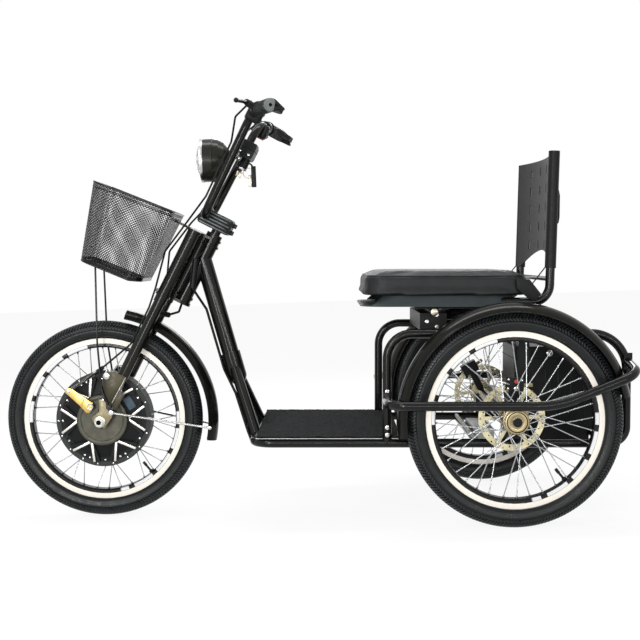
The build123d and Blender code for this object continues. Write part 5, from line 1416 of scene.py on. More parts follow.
# ------------------------------------------------------------------ seat
@dataclass
class Cushion:
    """Stuffed seat cushion with a seam round its top edge.

    Sizes are in millimetres from the rear axle along the pitched chassis.
    """

    front: float = -361.0
    rear: float = 57.0
    half: float = 238.0
    foot: float = 292.3
    shoulder: float = 338.0
    crown: float = 351.0
    corner: float = 62.0
    slack: float = 4.0
    swell: float = 6.0
    cell: float = 6.0
    seam: float = 341.0
    aim: float = 0.62

    def blank(self) -> Piece:
        """Rounded slab a little smaller than the cushion, with a low crown."""
        idle()
        length = self.rear - self.front - 2 * self.slack
        width = 2 * self.half - 2 * self.slack
        height = self.shoulder - self.foot
        bpy.ops.mesh.primitive_cube_add(size=1, scale=Vector((length, width, height)) * MM)
        piece = settle("seat_cushion_stuffed")
        with Edit(piece, "EDGE") as work:
            work.edges(lambda edge: abs(edge.verts[0].co.z - edge.verts[1].co.z) > height * MM * 0.9)
            bpy.ops.mesh.bevel(offset=(self.corner - self.slack) * MM, segments=10, affect="EDGES")
        with Edit(piece) as work:
            work.faces(lambda face: face.normal.z > 0.9)
            bpy.ops.mesh.inset(thickness=9 * MM)
            bpy.ops.transform.translate(value=(0, 0, 5 * MM))
            bpy.ops.mesh.inset(thickness=26 * MM)
            bpy.ops.transform.translate(value=(0, 0, 4.5 * MM))
        middle = (self.front + self.rear) / 2
        place = STANCE.chassis(middle, 0, (self.foot + self.shoulder) / 2)
        turn = Matrix.Rotation(math.radians(STANCE.pitch), 4, "Y")
        piece.data.transform(Matrix.Translation(place) @ turn)
        return piece

    def stuff(self, piece: Piece) -> None:
        """Swell the blank as padded cloth, with its foot held flat."""
        before = [corner.co.copy() for corner in piece.data.vertices]
        inverse = Matrix.Rotation(-math.radians(STANCE.pitch), 3, "Y")
        foot = (inverse @ STANCE.chassis(0, 0, self.foot)).z
        held = piece.vertex_groups.new(name="held")
        low = [corner.index for corner in piece.data.vertices if (inverse @ corner.co).z < foot + 6 * MM]
        held.add(low, 1.0, "REPLACE")
        take(piece)
        cloth = piece.modifiers.new("stuffing", "CLOTH")
        cloth.settings.use_pressure = True
        cloth.settings.uniform_pressure_force = 4.0
        cloth.settings.effector_weights.gravity = 0.0
        cloth.settings.vertex_group_mass = "held"
        for frame in range(1, 21):
            bpy.context.scene.frame_set(frame)
        bpy.ops.object.modifier_apply(modifier="stuffing")
        bpy.context.scene.frame_set(1)
        for corner, old in zip(piece.data.vertices, before):
            step = corner.co - old
            if step.length > self.swell * MM:
                corner.co = old + step.normalized() * self.swell * MM

    def above(self, turn: float, reach: float, height: float) -> Vector:
        """Place round the cushion's middle.

        Args:
            turn: angle round it, in radians.
            reach: distance out, as a share of its half length and half width.
            height: its height in millimetres.

        Returns:
            The place in the row frame.
        """
        middle, half_length = (self.front + self.rear) / 2, (self.rear - self.front) / 2
        x = middle + reach * half_length * math.cos(turn)
        return STANCE.chassis(x, reach * self.half * math.sin(turn), height)

    def welt(self, piece: Piece) -> Piece:
        """Piping that follows the cushion's surface round the top edge."""
        points = []
        count = 120
        for index in range(count + 1):
            turn = 2 * math.pi * index / count
            far, target = self.above(turn, 2, self.seam), self.above(turn, self.aim, self.seam - 3)
            hit, place, normal, _ = piece.ray_cast(far, (target - far).normalized())
            if hit:
                points.append(place + normal * 0.4 * MM)
        return wire("welt", points, 1.9, True, 2)

    def build(self, finishes: Finishes) -> None:
        """Model, stuff and dress the cushion in place of the plain slab."""
        piece = self.blank()
        modify(piece, "remesh", "REMESH", mode="VOXEL", voxel_size=self.cell * MM)
        self.stuff(piece)
        modify(piece, "ease", "SMOOTH", iterations=6)
        modify(piece, "finer", "SUBSURF", levels=1)
        smooth(piece, 80)
        welt = self.welt(piece)
        fit(piece, finishes.leather, "frame")
        fit(welt, finishes.leather, "frame")
        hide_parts("seat_cushion")


# ------------------------------------------------------------------ floor mat
@dataclass
class Mat:
    """Looped floor mat cut round the tubes."""

    cell: float = 2.6
    pile: float = 2.4
    loop: float = 6.0

    def build(self, finishes: Finishes) -> None:
        """Make the pile on a copy of the plain mat and dress it."""
        source = bpy.data.objects["floor_mat"]
        piece = source.copy()
        piece.data = source.data.copy()
        piece.name = "floor_mat_looped"
        bpy.context.scene.collection.objects.link(piece)
        piece.parent = None
        with Edit(piece):
            pick_all()
            bpy.ops.mesh.remove_doubles(threshold=1e-6)
        modify(piece, "remesh", "REMESH", mode="VOXEL", voxel_size=self.cell * MM)
        top = piece.vertex_groups.new(name="top")
        turn = Matrix.Rotation(-math.radians(STANCE.pitch), 3, "Y")
        level = max((turn @ corner.co).z for corner in piece.data.vertices)
        upper = [corner.index for corner in piece.data.vertices if (turn @ corner.co).z > level - 2 * MM]
        top.add(upper, 1.0, "REPLACE")
        texture = bpy.data.textures.new("pile", "STUCCI")
        texture.noise_scale = self.loop * MM
        texture.turbulence = 8.0
        modify(
            piece, "loops", "DISPLACE", texture=texture, texture_coords="LOCAL",
            strength=self.pile * MM, mid_level=0.55, vertex_group="top",
        )
        fit(piece, finishes.carpet, "frame")
        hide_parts("floor_mat")


# ------------------------------------------------------------------ hub motor
@dataclass
class HubMotor:
    """Machined ribs, screws and a plain cover plate on the hub motor, about the front axle."""

    face: float = 39.2
    depth: float = 12.0
    width: float = 6.2
    root: float = 64.5
    tip: float = 111.5
    lean: float = 16.0
    ribs: int = 6
    screw_radius: float = 106.5
    screw_face: float = 28.0
    screw_turns: tuple[float, ...] = (0.0, 22.0, 30.0, 60.0, 68.0, 90.0, 112.0, 120.0, 150.0, 158.0)
    cover: Point = (34.0, 20.0, 1.6)
    cover_radius: float = 81.0
    cover_face: float = 32.0
    cover_turn: float = 30.0
    cover_slope: float = 10.6

    def rib(self) -> Piece:
        """One V of two machined bars on the left face, pointing along X."""
        arms = []
        level = -self.face + self.depth / 2
        root = mm(self.root, level, 0)
        for lean in (-self.lean, self.lean):
            turn = math.radians(lean)
            tip = mm(self.tip * math.cos(turn), level, self.tip * math.sin(turn))
            size = ((tip - root).length / MM + self.width * 0.5, self.width, self.depth)
            arms.append(plate("arm", size, 0.9, lie((root + tip) / 2, tip - root, mm(0, -1, 0))))
        return join("rib", arms)

    def build(self, finishes: Finishes) -> None:
        """Model the ribs, screws and plate and let them turn with the wheel."""
        frame = Matrix.Translation(STANCE.front_axle)
        flip = Matrix.Rotation(math.pi, 4, "X")
        faces = (Matrix(), flip)
        places = [face @ turn for turn in around(Vector(), self.ribs) for face in faces]
        fit(repeat("hub_ribs", self.rib(), places), finishes.machined, "front_wheel", frame)
        places = []
        for first in (0.0, 180.0):
            for degrees in self.screw_turns:
                out = ray(first + degrees) * self.screw_radius * MM
                screw = aim(out + mm(0, -self.screw_face, 0), Vector((0, -1, 0)))
                places += [face @ screw for face in faces]
        screws = repeat("hub_screws", socket_bolt(3.0, 2.4), places)
        fit(screws, finishes.bright, "front_wheel", frame)
        slope = math.radians(self.cover_slope)
        out = ray(self.cover_turn)
        along = Vector((-out.z, 0, out.x))
        away = out * math.sin(slope) - Vector((0, math.cos(slope), 0))
        at = out * self.cover_radius * MM + mm(0, -self.cover_face, 0)
        cover = plate("hub_cover_plate", self.cover, 0.5, lie(at, along, away))
        fit(cover, finishes.slate, "front_wheel", frame)


# ------------------------------------------------------------------ front drum brake and fork feet
@dataclass
class DrumBrake:
    """Ring, bracket, lever, spring and fasteners at the front axle, along the steering axis."""

    axle_x: float = -44.0
    face: float = 80.0
    lever: tuple = (
        (-158, 25), (-163, 32), (-158, 39), (-147, 42), (-106, 36), (-84, 33), (-77, 27),
        (-76, 18), (-80, 5), (-88, 3), (-104, 10), (-150, 23),
    )
    fold: tuple = ((-110, 14), (-104, 35), (-84, 32), (-78, 26), (-77, 18), (-81, 6), (-88, 4), (-104, 10))
    bracket: tuple = (
        (-72, 52), (-61, 56), (-51, 52), (-45, 43), (-36, 35), (-21, 27), (-25, -9), (-40, -11),
        (-52, -9), (-63, -4), (-66, 3), (-62, 11), (-57, 24), (-62, 36),
    )
    channel: tuple = (
        (-88, 119), (-84, 129), (-58, 134), (-34, 134), (-37, 57), (-51, 49), (-60, 60), (-86, 104),
    )
    brace: tuple = ((-17, 91), (-27, 94), (-38, 54), (-20, 43))
    spring_foot: Point = (-148.0, -62.0, 42.0)
    spring_head: Point = (-113.0, -62.0, 103.0)
    ring: Outline = ((55.5, 48.8), (55.5, 50.4), (57.5, 51.2), (62.6, 51.2), (64.6, 50.0), (64.6, 48.8))
    cam: Outline = ((5, 66), (9, 66), (9, 70), (7.5, 71.4), (5, 70.6))
    nut_end: Outline = ((6.2, 8), (9.0, 8), (9.4, 11), (8.6, 13.2), (6.8, 13.2), (6.2, 12.0))
    foot_bolts: tuple = (
        ("bolt", -80, 115, 0, 7, 9.0, 28, 2.0),
        ("eye", -28, 35, 3, 7.5, 7.2, 24, 2.0),
        ("stud", -61, 55, 0, 5, 3.2, 14, 1.0),
        ("rivet", -86, 126, -1, 3, 2.4, 12, 0.7),
        ("rivet", -79, 130, -1, 3, 2.4, 12, 0.7),
    )
    stay_turn: float = -6.0
    stay_reach: float = 274.0

    def spring(self) -> Piece:
        """Return spring between the lever's end and the cable stop."""
        start, end = mm(*self.spring_foot), mm(*self.spring_head)
        turn = (end - start).to_track_quat("Z", "Y").to_matrix()
        count, coils, radius = 160, 17, 4.2 * MM
        points = []
        for index in range(count + 1):
            angle = 2 * math.pi * coils * index / count
            ring = Vector((math.cos(angle) * radius, math.sin(angle) * radius, 0))
            points.append(start.lerp(end, index / count) + turn @ ring)
        coil = wire("coil", points, 0.85, True, 1)
        core = rod("core", start, end, 1.4, 10)
        return join("brake_spring", [coil, core])

    def nut(self) -> Piece:
        """Hollow-ended axle nut on its washer, on +Z from the origin."""
        washer = rod("washer", mm(0, 0, -0.5), mm(0, 0, 1.4), 14.5, 28, 0.4)
        body = rod("nut", mm(0, 0, 1), mm(0, 0, 9.5), 12.6, 6)
        with Edit(body) as work:
            work.faces(lambda face: face.normal.z > 0.9)
            bpy.ops.mesh.inset(thickness=2.2 * MM)
            bpy.ops.transform.translate(value=(0, 0, 0.9 * MM))
        end = turned("end", self.nut_end, Vector(), Vector((0, 0, 1)), 32)
        return join("nut", [washer, body, end])

    def build(self, finishes: Finishes) -> None:
        """Model and dress every piece of the brake and the fork feet."""
        frame, out = STANCE.steering_frame, Vector((0, Side.LEFT.value, 0))
        ring = turned("drum_ring", self.ring, mm(self.axle_x, 0, 0), out, 96)
        fit(ring, finishes.olive, "steering", frame)
        lever = cutout("lever", self.lever, 2.6, 0.7, upright(-63.9))
        fold = cutout("fold", self.fold, 2.4, 0.9, upright(-66.3))
        lip = plate("lip", (3, 24, 8), 0.8, lie(mm(-108, -67, 23), mm(1, 0, 0.15), mm(0, -1, 0)))
        fit(join("brake_lever_plate", [lever, fold, lip]), finishes.zinc, "steering", frame)
        pin = rod("pin", mm(-153, -57, 32), mm(-153, -69, 32), 4.6, 16, 0.8)
        cam = turned("cam", self.cam, mm(-84, 0, 22), out, 24)
        stop = rod("stop", mm(-114, -62, 102), mm(-106, -62, 116), 5.2, 8, 0.8)
        fit(join("brake_fasteners", [pin, cam, stop]), finishes.bright, "steering", frame)
        fit(self.spring(), finishes.dark_steel, "steering", frame)
        bracket = cutout("axle_bracket", self.bracket, 2.6, 0.8, upright(-self.face + 0.2))
        fit(bracket, finishes.beige, "steering", frame)
        channel = cutout("channel", self.channel, 2.0, 0.6, upright(-self.face + 0.2))
        brace = cutout("brace", self.brace, 2.0, 0.6, upright(-self.face + 0.2))
        # Thin rod on the channel's folded edge, in a light copy of its olive metal: a painted highlight.
        lip = rod("lip", mm(-34.5, -82, 133), mm(-37.5, -82, 58), 1.3, 10)
        fit(join("fork_foot_channel", [channel, brace]), finishes.bracket, "steering", frame)
        fit(lip, finishes.olive_edge_highlight, "steering", frame)
        nuts = repeat("axle_nuts", self.nut(), [
            aim(mm(self.axle_x, -self.face - 2.6, 0), out), aim(mm(self.axle_x, self.face, 0), -out),
        ])
        fit(nuts, finishes.alloy_nut, "steering", frame)
        # Near-black plugs inside the hollow nut ends: painted shade.
        plugs = []
        for y in (-92.2, 91.5):
            plugs.append(rod("plug", mm(self.axle_x, y, 0), mm(self.axle_x, y * 1.014, 0), 6.3, 24))
        fit(join("axle_bore_shades", plugs), finishes.void, "steering", frame)
        bolts = []
        for side in BOTH:
            for name, x, z, low, high, radius, sides, bevel in self.foot_bolts:
                inner, outer = (side.value * (self.face + reach) for reach in (low, high))
                bolts.append(rod(name, mm(x, inner, z), mm(x, outer, z), radius, sides, bevel))
        fit(join("fork_foot_bolts", bolts), finishes.bright, "steering", frame)
        stays = []
        for side in BOTH:
            foot = STANCE.steering(-28, side.value * (self.face + 4), 35)
            turn = math.radians(self.stay_turn)
            x, z = 5 + self.stay_reach * math.cos(turn), -3 + self.stay_reach * math.sin(turn)
            end = STANCE.front_axle + mm(x, side.value * 36, z)
            stays.append(rod("stay", foot, end, 2.8, 14))
            stays.append(rod("end", end, end + mm(0, side.value * 4, 0), 5.0, 6, 0.6))
        fit(join("mudguard_stays", stays), finishes.bright, "steering")


# ------------------------------------------------------------------ rear hubs and disc brakes
@dataclass
class RearHubs:
    """Hub caps, caliper bolts, cable stops, dials and arms, about the rear axle along the chassis."""

    plate_face: float = 271.0
    turns: tuple = ((Side.LEFT, 86.0), (Side.RIGHT, 118.0))
    cap_ring: Outline = (
        (15, 44.8), (15, 45.8), (16.5, 46.6), (21, 46.2), (25.5, 46.4), (27.5, 45.4), (27.5, 44.8),
    )
    cap_bead: Outline = ((22, 46), (23.6, 47.2), (25.2, 46))
    caliper_bolts: tuple = ((71.0, -4.0, 5.8), (92.0, 16.0, 3.0), (92.0, -16.0, 3.0), (70.0, 16.0, 3.0))

    def spot(self, side: Side, degrees: float, out: float, across: float, y: float) -> Vector:
        """Chassis place given outwards and across at a turn about the axle."""
        turn = math.radians(degrees)
        x = out * math.cos(turn) - across * math.sin(turn)
        return mm(x, side.value * y, out * math.sin(turn) + across * math.cos(turn))

    def build(self, finishes: Finishes) -> None:
        """Model and dress both sides."""
        for side, turn in self.turns:
            name = side.name.lower()
            out = Vector((0, side.value, 0))
            wheel = STANCE.rear_wheel(side)
            ring = turned("ring", self.cap_ring, wheel, out, 64)
            fit(ring, finishes.brass, f"rear_wheel_{name}").name = f"hub_cap_ring_{name}"
            # Near-black bead that stands for the groove in the hub cap: painted shade.
            ring = turned("bead", self.cap_bead, wheel, out, 64)
            fit(ring, finishes.void, f"rear_wheel_{name}").name = f"hub_cap_groove_{name}"
            frame = STANCE.chassis_frame
            bolts = []
            for reach, across, radius in self.caliper_bolts:
                at = self.spot(side, turn, reach, across, self.plate_face)
                bolts.append(rod("bolt", at - out * MM, at + out * 2.6 * MM, radius, 20, 0.9))
            at, end = (self.spot(side, turn, *step, self.plate_face - 4) for step in ((80, 12), (86, 44)))
            bolts.append(rod("cable_stop", at, end, 4.2, 12, 0.8))
            fit(join(f"caliper_bolts_{name}", bolts), finishes.bright, "frame", frame)
            at = self.spot(side, turn, 88, -3, self.plate_face)
            dial = rod(f"caliper_dial_{name}", at - out * MM, at + out * 2.2 * MM, 5.2, 16, 0.8)
            fit(dial, finishes.red, "frame", frame)
            at = self.spot(side, turn, 80, -24, self.plate_face - 4)
            place = lie(at, self.spot(side, turn, 4, -30, 0), out)
            arm = plate(f"caliper_arm_{name}", (38, 9, 3), 0.8, place)
            fit(arm, finishes.beige, "frame", frame)


# ------------------------------------------------------------------ handlebar and instruments
@dataclass
class Cockpit:
    """Grip ends, switches, lever fittings, display and keys, along the steering axis."""

    bar_x: float = -38.0
    shoulder_y: float = 133.0
    shoulder_s: float = 880.0
    end_x: float = 15.0
    end_y: float = 338.0
    end_s: float = 893.0
    palm: Outline = (
        (-14, -10), (-15.5, 5), (-9, 14), (3, 16.5), (13, 13), (35, -9), (33, -13), (8, -15), (-6, -14),
    )
    palm_width: float = 20.0
    droop_left: float = 27.0
    droop_right: float = -3.0
    collar: Outline = ((15, 0), (18.6, 0), (19.2, 1.4), (18.6, 3), (15, 3))
    perch: Outline = ((14, -10.5), (16.4, -10.5), (17, -8), (17, 8), (16.4, 10.5), (14, 10.5))
    clip: Outline = ((7.6, -4), (10, -4), (10, 4), (7.6, 4))
    rib_ring: Outline = ((15.4, 0), (16.7, 0.7), (16.7, 2.6), (15.4, 3.3))
    cap: Outline = ((4, -1), (15.2, -1), (15.8, 0.6), (14.2, 2.4), (4, 2.8))
    cap_y: float = 341.0
    collar_y: float = 207.5
    first_rib_y: float = 218.0
    rib_pitch: float = 8.2
    grip_ribs: int = 14
    switch_y: float = 164.0
    clamp_y: float = 190.0
    clip_y: float = 62.0
    clip_rise: float = 772.0
    box_half: float = 43.2
    screw_rise: float = 784.0
    seam_rise: float = 798.0
    lock: Point = (-12.0, -12.0, 744.0)
    lock_ring: Outline = ((8, -1.6), (12.6, -1.6), (13.4, 0), (13.4, 3), (11.8, 4), (8, 4))
    key_ring: float = 13.0
    glass: Point = (-21.5, 0.0, 815.0)
    rib_rises: tuple[float, ...] = (576.2, 584.6, 593.0, 601.4, 609.8)
    bolt_rises: tuple[float, ...] = (583.0, 603.0)

    def bar(self, side: Side, y: float) -> Vector:
        """Point on the middle of a grip's run at a distance from the middle plane."""
        share = (y - self.shoulder_y) / (self.end_y - self.shoulder_y)
        x = self.bar_x + (self.end_x - self.bar_x) * share
        return mm(x, side.value * y, self.shoulder_s + (self.end_s - self.shoulder_s) * share)

    def across(self, side: Side, axis: Vector) -> Matrix:
        """Turn that stands an outline across the grip and draws it out inboard from the grip's end."""
        inboard = -axis * side.value
        place = Matrix(((1, 0, 0, 0), (0, 0, -1, 0), (0, 1, 0, 0), (0, 0, 0, 1)))
        skew = Matrix.Identity(4)
        skew[0][1] = inboard.x / inboard.y
        skew[2][1] = inboard.z / inboard.y
        start = 0 if side is Side.RIGHT else self.palm_width
        return skew @ moved(0, start, 0) @ place

    def hand(self, side: Side, finishes: Finishes, frame: Matrix) -> None:
        """Grip end, collar, ribs, switch box and lever fittings of one hand."""
        name = side.name.lower()
        axis = (self.bar(side, 300) - self.bar(side, 200)).normalized()
        end = self.bar(side, self.cap_y)
        cap = turned("cap", self.cap, end, axis)
        fit(cap, finishes.cap, "steering", frame).name = f"grip_cap_{name}"
        # Near-black disc in the grip cap's hole: painted shade.
        hole = rod(f"grip_bore_shade_{name}", end - axis * MM, end + axis * 1.6 * MM, 4.6, 20)
        fit(hole, finishes.void, "steering", frame)
        turn = self.droop_left if side is Side.LEFT else self.droop_right
        droop = Matrix.Rotation(math.radians(turn), 4, "Z")
        place = Matrix.Translation(end) @ self.across(side, axis) @ droop
        wedge = cutout(f"palm_wedge_{name}", self.palm, self.palm_width, 2.4, place)
        fit(wedge, finishes.grip, "steering", frame)
        rings = [turned("ring", self.collar, self.bar(side, self.collar_y), axis)]
        for index in range(self.grip_ribs):
            at = self.bar(side, self.first_rib_y + index * self.rib_pitch)
            rings.append(turned("ring", self.rib_ring, at, axis, 36))
        fit(join(f"grip_rings_{name}", rings), finishes.grip, "steering", frame)
        middle = self.bar(side, self.switch_y) + mm(2, 0, -9 if side is Side.LEFT else -14)
        place = lie(middle, Vector((1, 0, 0)), axis)
        case = plate("case", (38, 40, 22), 6.0, place, 4)
        lid = plate("lid", (5, 30, 17), 1.8, place @ moved(19, -1, 0))
        fit(join(f"switch_box_{name}", [case, lid]), finishes.case, "steering", frame)
        buttons = [plate("key", (5, 7, 9), 1.2, place @ moved(22, y, 0)) for y in (-9, 8)]
        fit(join(f"switch_keys_{name}", buttons), finishes.cap, "steering", frame)
        if side is Side.RIGHT:
            knob = plate(f"start_button_{name}", (22, 3, 15), 1.0, place @ moved(4, 20.5, 0))
            fit(knob, finishes.red, "steering", frame)
        clamp = self.bar(side, self.clamp_y)
        ring = turned("ring", self.perch, clamp, axis)
        perch = plate("perch", (26, 17, 15), 4.0, lie(clamp + mm(-19, 0, 3), Vector((1, 0, 0)), axis), 3)
        fit(join(f"lever_perch_{name}", [ring, perch]), finishes.satin, "steering", frame)
        root = clamp + mm(-30, side.value * 4, 4)
        barrel = rod("barrel", root, root + mm(-5, side.value * -17, -2), 4.2, 12, 0.8)
        low, high = (clamp + mm(-24, side.value * 4, rise) for rise in (11, 14))
        screw = rod("screw", low, high, 3.4, 16, 0.7)
        clip = rod("clip", clamp + mm(0, 0, 15), clamp + mm(0, 0, 19.4), 3.0, 6, 0.5)
        screws = join(f"lever_screws_{name}", [barrel, screw, clip])
        fit(screws, finishes.bright, "steering", frame)

    def display(self, finishes: Finishes, frame: Matrix) -> None:
        """Dark glass, rim, seam and screws of the display box, the bar's clips and the lock's ring."""
        up = moved(*self.glass)
        glass = plate("display_glass", (34, 70, 2.4), 1.0, up)
        fit(glass, finishes.screen, "steering", frame)
        edges = [plate("edge", (3, 78, 3.2), 1.0, up @ moved(x, 0, 0.2)) for x in (-19, 19)]
        edges += [plate("edge", (41, 3, 3.2), 1.0, up @ moved(0, y, 0.2)) for y in (-37, 37)]
        fit(join("display_rim", edges), finishes.case, "steering", frame)
        seam = plate("display_seam", (48.4, 85.2, 1.4), 0.4, moved(self.glass[0], 0, self.seam_rise))
        fit(seam, finishes.void, "steering", frame)
        screws = []
        for y in (-self.box_half, self.box_half):
            for x in (-34, -9):
                start, end = (mm(x, y * share, self.screw_rise) for share in (0.96, 1))
                screws.append(rod("screw", start, end, 3.2, 16, 0.7))
        for y in (-self.clip_y, self.clip_y):
            at = mm(self.bar_x, y, self.clip_rise)
            screws.append(turned("clip", self.clip, at, Vector((0, 1, 0)), 24))
            screws.append(rod("bolt", mm(self.bar_x + 8, y, 766), mm(self.bar_x + 14, y, 762), 3.4, 6, 0.4))
        fit(join("instrument_fasteners", screws), finishes.bright, "steering", frame)
        ring = turned("lock_ring", self.lock_ring, mm(*self.lock), Vector((0, 0, 1)))
        fit(ring, finishes.bright, "steering", frame)

    def stem(self, finishes: Finishes, frame: Matrix) -> None:
        """Raised ribs on the stem clamp, in a lighter metal as painted highlights, and its pinch bolts."""
        ribs = []
        for side in BOTH:
            for s in self.rib_rises:
                ribs.append(plate("rib", (78, 2.0, 3.4), 0.9, moved(-11, side.value * 34, s)))
        # The ribs take the lighter rib metal: painted highlights.
        fit(join("clamp_ribs", ribs), finishes.rib, "steering", frame)
        bolts = []
        for s in self.bolt_rises:
            for y in (-20.0, 20.0):
                bolts.append(rod("bolt", mm(33, y, s), mm(41, y, s), 6.0, 20, 1.2))
        for side in BOTH:
            for s in reversed(self.bolt_rises):
                start, end = (mm(24, side.value * y, s) for y in (33, 38))
                bolts.append(rod("stud", start, end, 5.2, 6, 0.6))
        fit(join("clamp_bolts", bolts), finishes.satin, "steering", frame)

    def keys(self, finishes: Finishes) -> None:
        """Key in the lock with its split ring, a spare and a long plain fob."""
        lock = STANCE.steering(*self.lock)
        x, y, rise = self.lock
        down = (STANCE.steering(x, y, rise - 24) - lock).normalized()
        shank = rod("shank", lock - down * 2 * MM, lock + down * 9 * MM, 3.0, 4)
        head = plate("head", (2.4, 15, 16), 1.0, lie(lock + down * 15 * MM, Vector((0, 1, 0)), down))
        ring_at = lock + mm(17, 0, -11)
        points = []
        count = 32
        for index in range(count + 1):
            turn = 2 * math.pi * index / count
            step = Vector((math.cos(turn), 0.12 * math.sin(turn), math.sin(turn)))
            points.append(ring_at + step * self.key_ring * MM)
        ring = wire("ring", points, 0.9, False, 2)
        spare = plate("spare", (9, 2.4, 30), 0.9, Matrix.Translation(ring_at + mm(4, 0, -20)))
        fit(join("keys", [shank, head, ring, spare]), finishes.nickel, "steering")
        loop = [lock + mm(2, -8, 2), lock + mm(14, -9, 12)]
        loop += [ring_at + mm(9, -4, 24), ring_at + mm(14, -3, 12)]
        fit(wire("key_strap", loop, 2.2), finishes.case, "steering")
        place = Matrix.Translation(ring_at + mm(14, -3, -10))
        fob = plate("key_fob", (12, 6, 54), 2.6, place, 4)
        fit(fob, finishes.case, "steering")
        rim = plate("key_fob_seam", (12.6, 1.2, 54.6), 0.5, place)
        fit(rim, finishes.cap, "steering")

    def build(self, finishes: Finishes) -> None:
        """Model and dress both hands, the display and the keys."""
        frame = STANCE.steering_frame
        for side in BOTH:
            self.hand(side, finishes, frame)
        self.display(finishes, frame)
        self.stem(finishes, frame)
        self.keys(finishes)


# ------------------------------------------------------------------ headlight
@dataclass
class Headlight:
    """Reflector, bulb and trim ring inside and round the lamp shell."""

    front: Vector
    bowl: Outline = (
        (51, 4), (47, 14), (38, 26), (22, 34), (8, 37),
        (8, 38.4), (22.6, 35.6), (38.8, 27.4), (48.2, 15), (52.4, 4),
    )
    bulb: Outline = ((0.4, 20), (4, 20.8), (6, 24), (6, 30), (4, 38), (0.4, 38))
    rim: Outline = (
        (52.6, -1.4), (54.4, -3.0), (57.0, -2.2), (57.8, 1.0), (57.2, 5.4), (55.6, 5.8), (55.4, 0.0),
    )
    bead: Outline = ((54.8, 26), (56.8, 27), (57.2, 28.6), (56.6, 30.2), (54.8, 31))

    def build(self, finishes: Finishes) -> None:
        """Model and dress the lamp's inside and rim."""
        pieces = (
            ("lamp_reflector", self.bowl, 72, finishes.mirror, "lamp_lens"),
            ("lamp_bulb", self.bulb, 32, finishes.lit, "lamp_lens"),
            ("lamp_rim", self.rim, 96, finishes.bright, "lamp_lens"),
            ("lamp_bead", self.bead, 96, finishes.shell, "lamp_shell"),
        )
        for name, profile, steps, finish, slot in pieces:
            fit(turned(name, profile, self.front, Vector((1, 0, 0)), steps), finish, "steering")


# ------------------------------------------------------------------ mudguard edges
@dataclass
class Mudguards:
    """Rolled edge beads and fasteners of the three mudguards."""

    bead: float = 1.7
    rear_radius: float = 257.0
    rear_half: float = 38.0
    rear_ends: tuple[float, float] = (12.6, 188.4)
    front_radius: float = 271.0
    front_half: float = 36.0
    front_ends: tuple[float, float] = (-12.4, 76.6)
    tab_radius: float = 260.0
    tab_rise: float = 200.5

    def arc(self, centre: Vector, radius: float, y: float, ends: tuple[float, float], tilt: float) -> Piece:
        """Bead along an edge.

        Args:
            centre: the middle of the arc, in metres.
            radius: its radius in millimetres.
            y: its distance across, in millimetres.
            ends: the angles it runs between, in degrees.
            tilt: what both angles are lowered by, in degrees.

        Returns:
            The bead.
        """
        first, last = ends
        points = []
        count = 48
        for index in range(count + 1):
            turn = math.radians(first + (last - first) * index / count - tilt)
            points.append(centre + Vector((radius * math.cos(turn), y, radius * math.sin(turn))) * MM)
        return wire("bead", points, self.bead, True, 2)

    def build(self, finishes: Finishes) -> None:
        """Model and dress the beads and bolts."""
        rear = STANCE.row(STANCE.rear_axle_x, 0, STANCE.axle_height)
        for side in BOTH:
            middle = side.value * STANCE.wheel_y
            edges = [
                self.arc(rear, self.rear_radius, middle + side.value * step, self.rear_ends, STANCE.pitch)
                for step in (-self.rear_half, self.rear_half)
            ]
            beads = join(f"rear_mudguard_beads_{side.name.lower()}", edges)
            fit(beads, finishes.mudguard, "frame")
        front = STANCE.front_axle + mm(5, 0, -3)
        half = self.front_half
        edges = [self.arc(front, self.front_radius, y, self.front_ends, 0) for y in (-half, half)]
        fit(join("front_mudguard_beads", edges), finishes.mudguard, "steering")
        reach = math.sqrt(self.tab_radius**2 - self.tab_rise**2)
        bolts = []
        for side in BOTH:
            for x in (-reach, reach):
                bolts.append(aim(mm(x, side.value * 252, 206.4), Vector((0, 0, 1))))
        tabs = repeat("mudguard_tab_bolts", hex_bolt(4.6, 3.6), bolts)
        fit(tabs, finishes.bright, "frame", STANCE.chassis_frame)


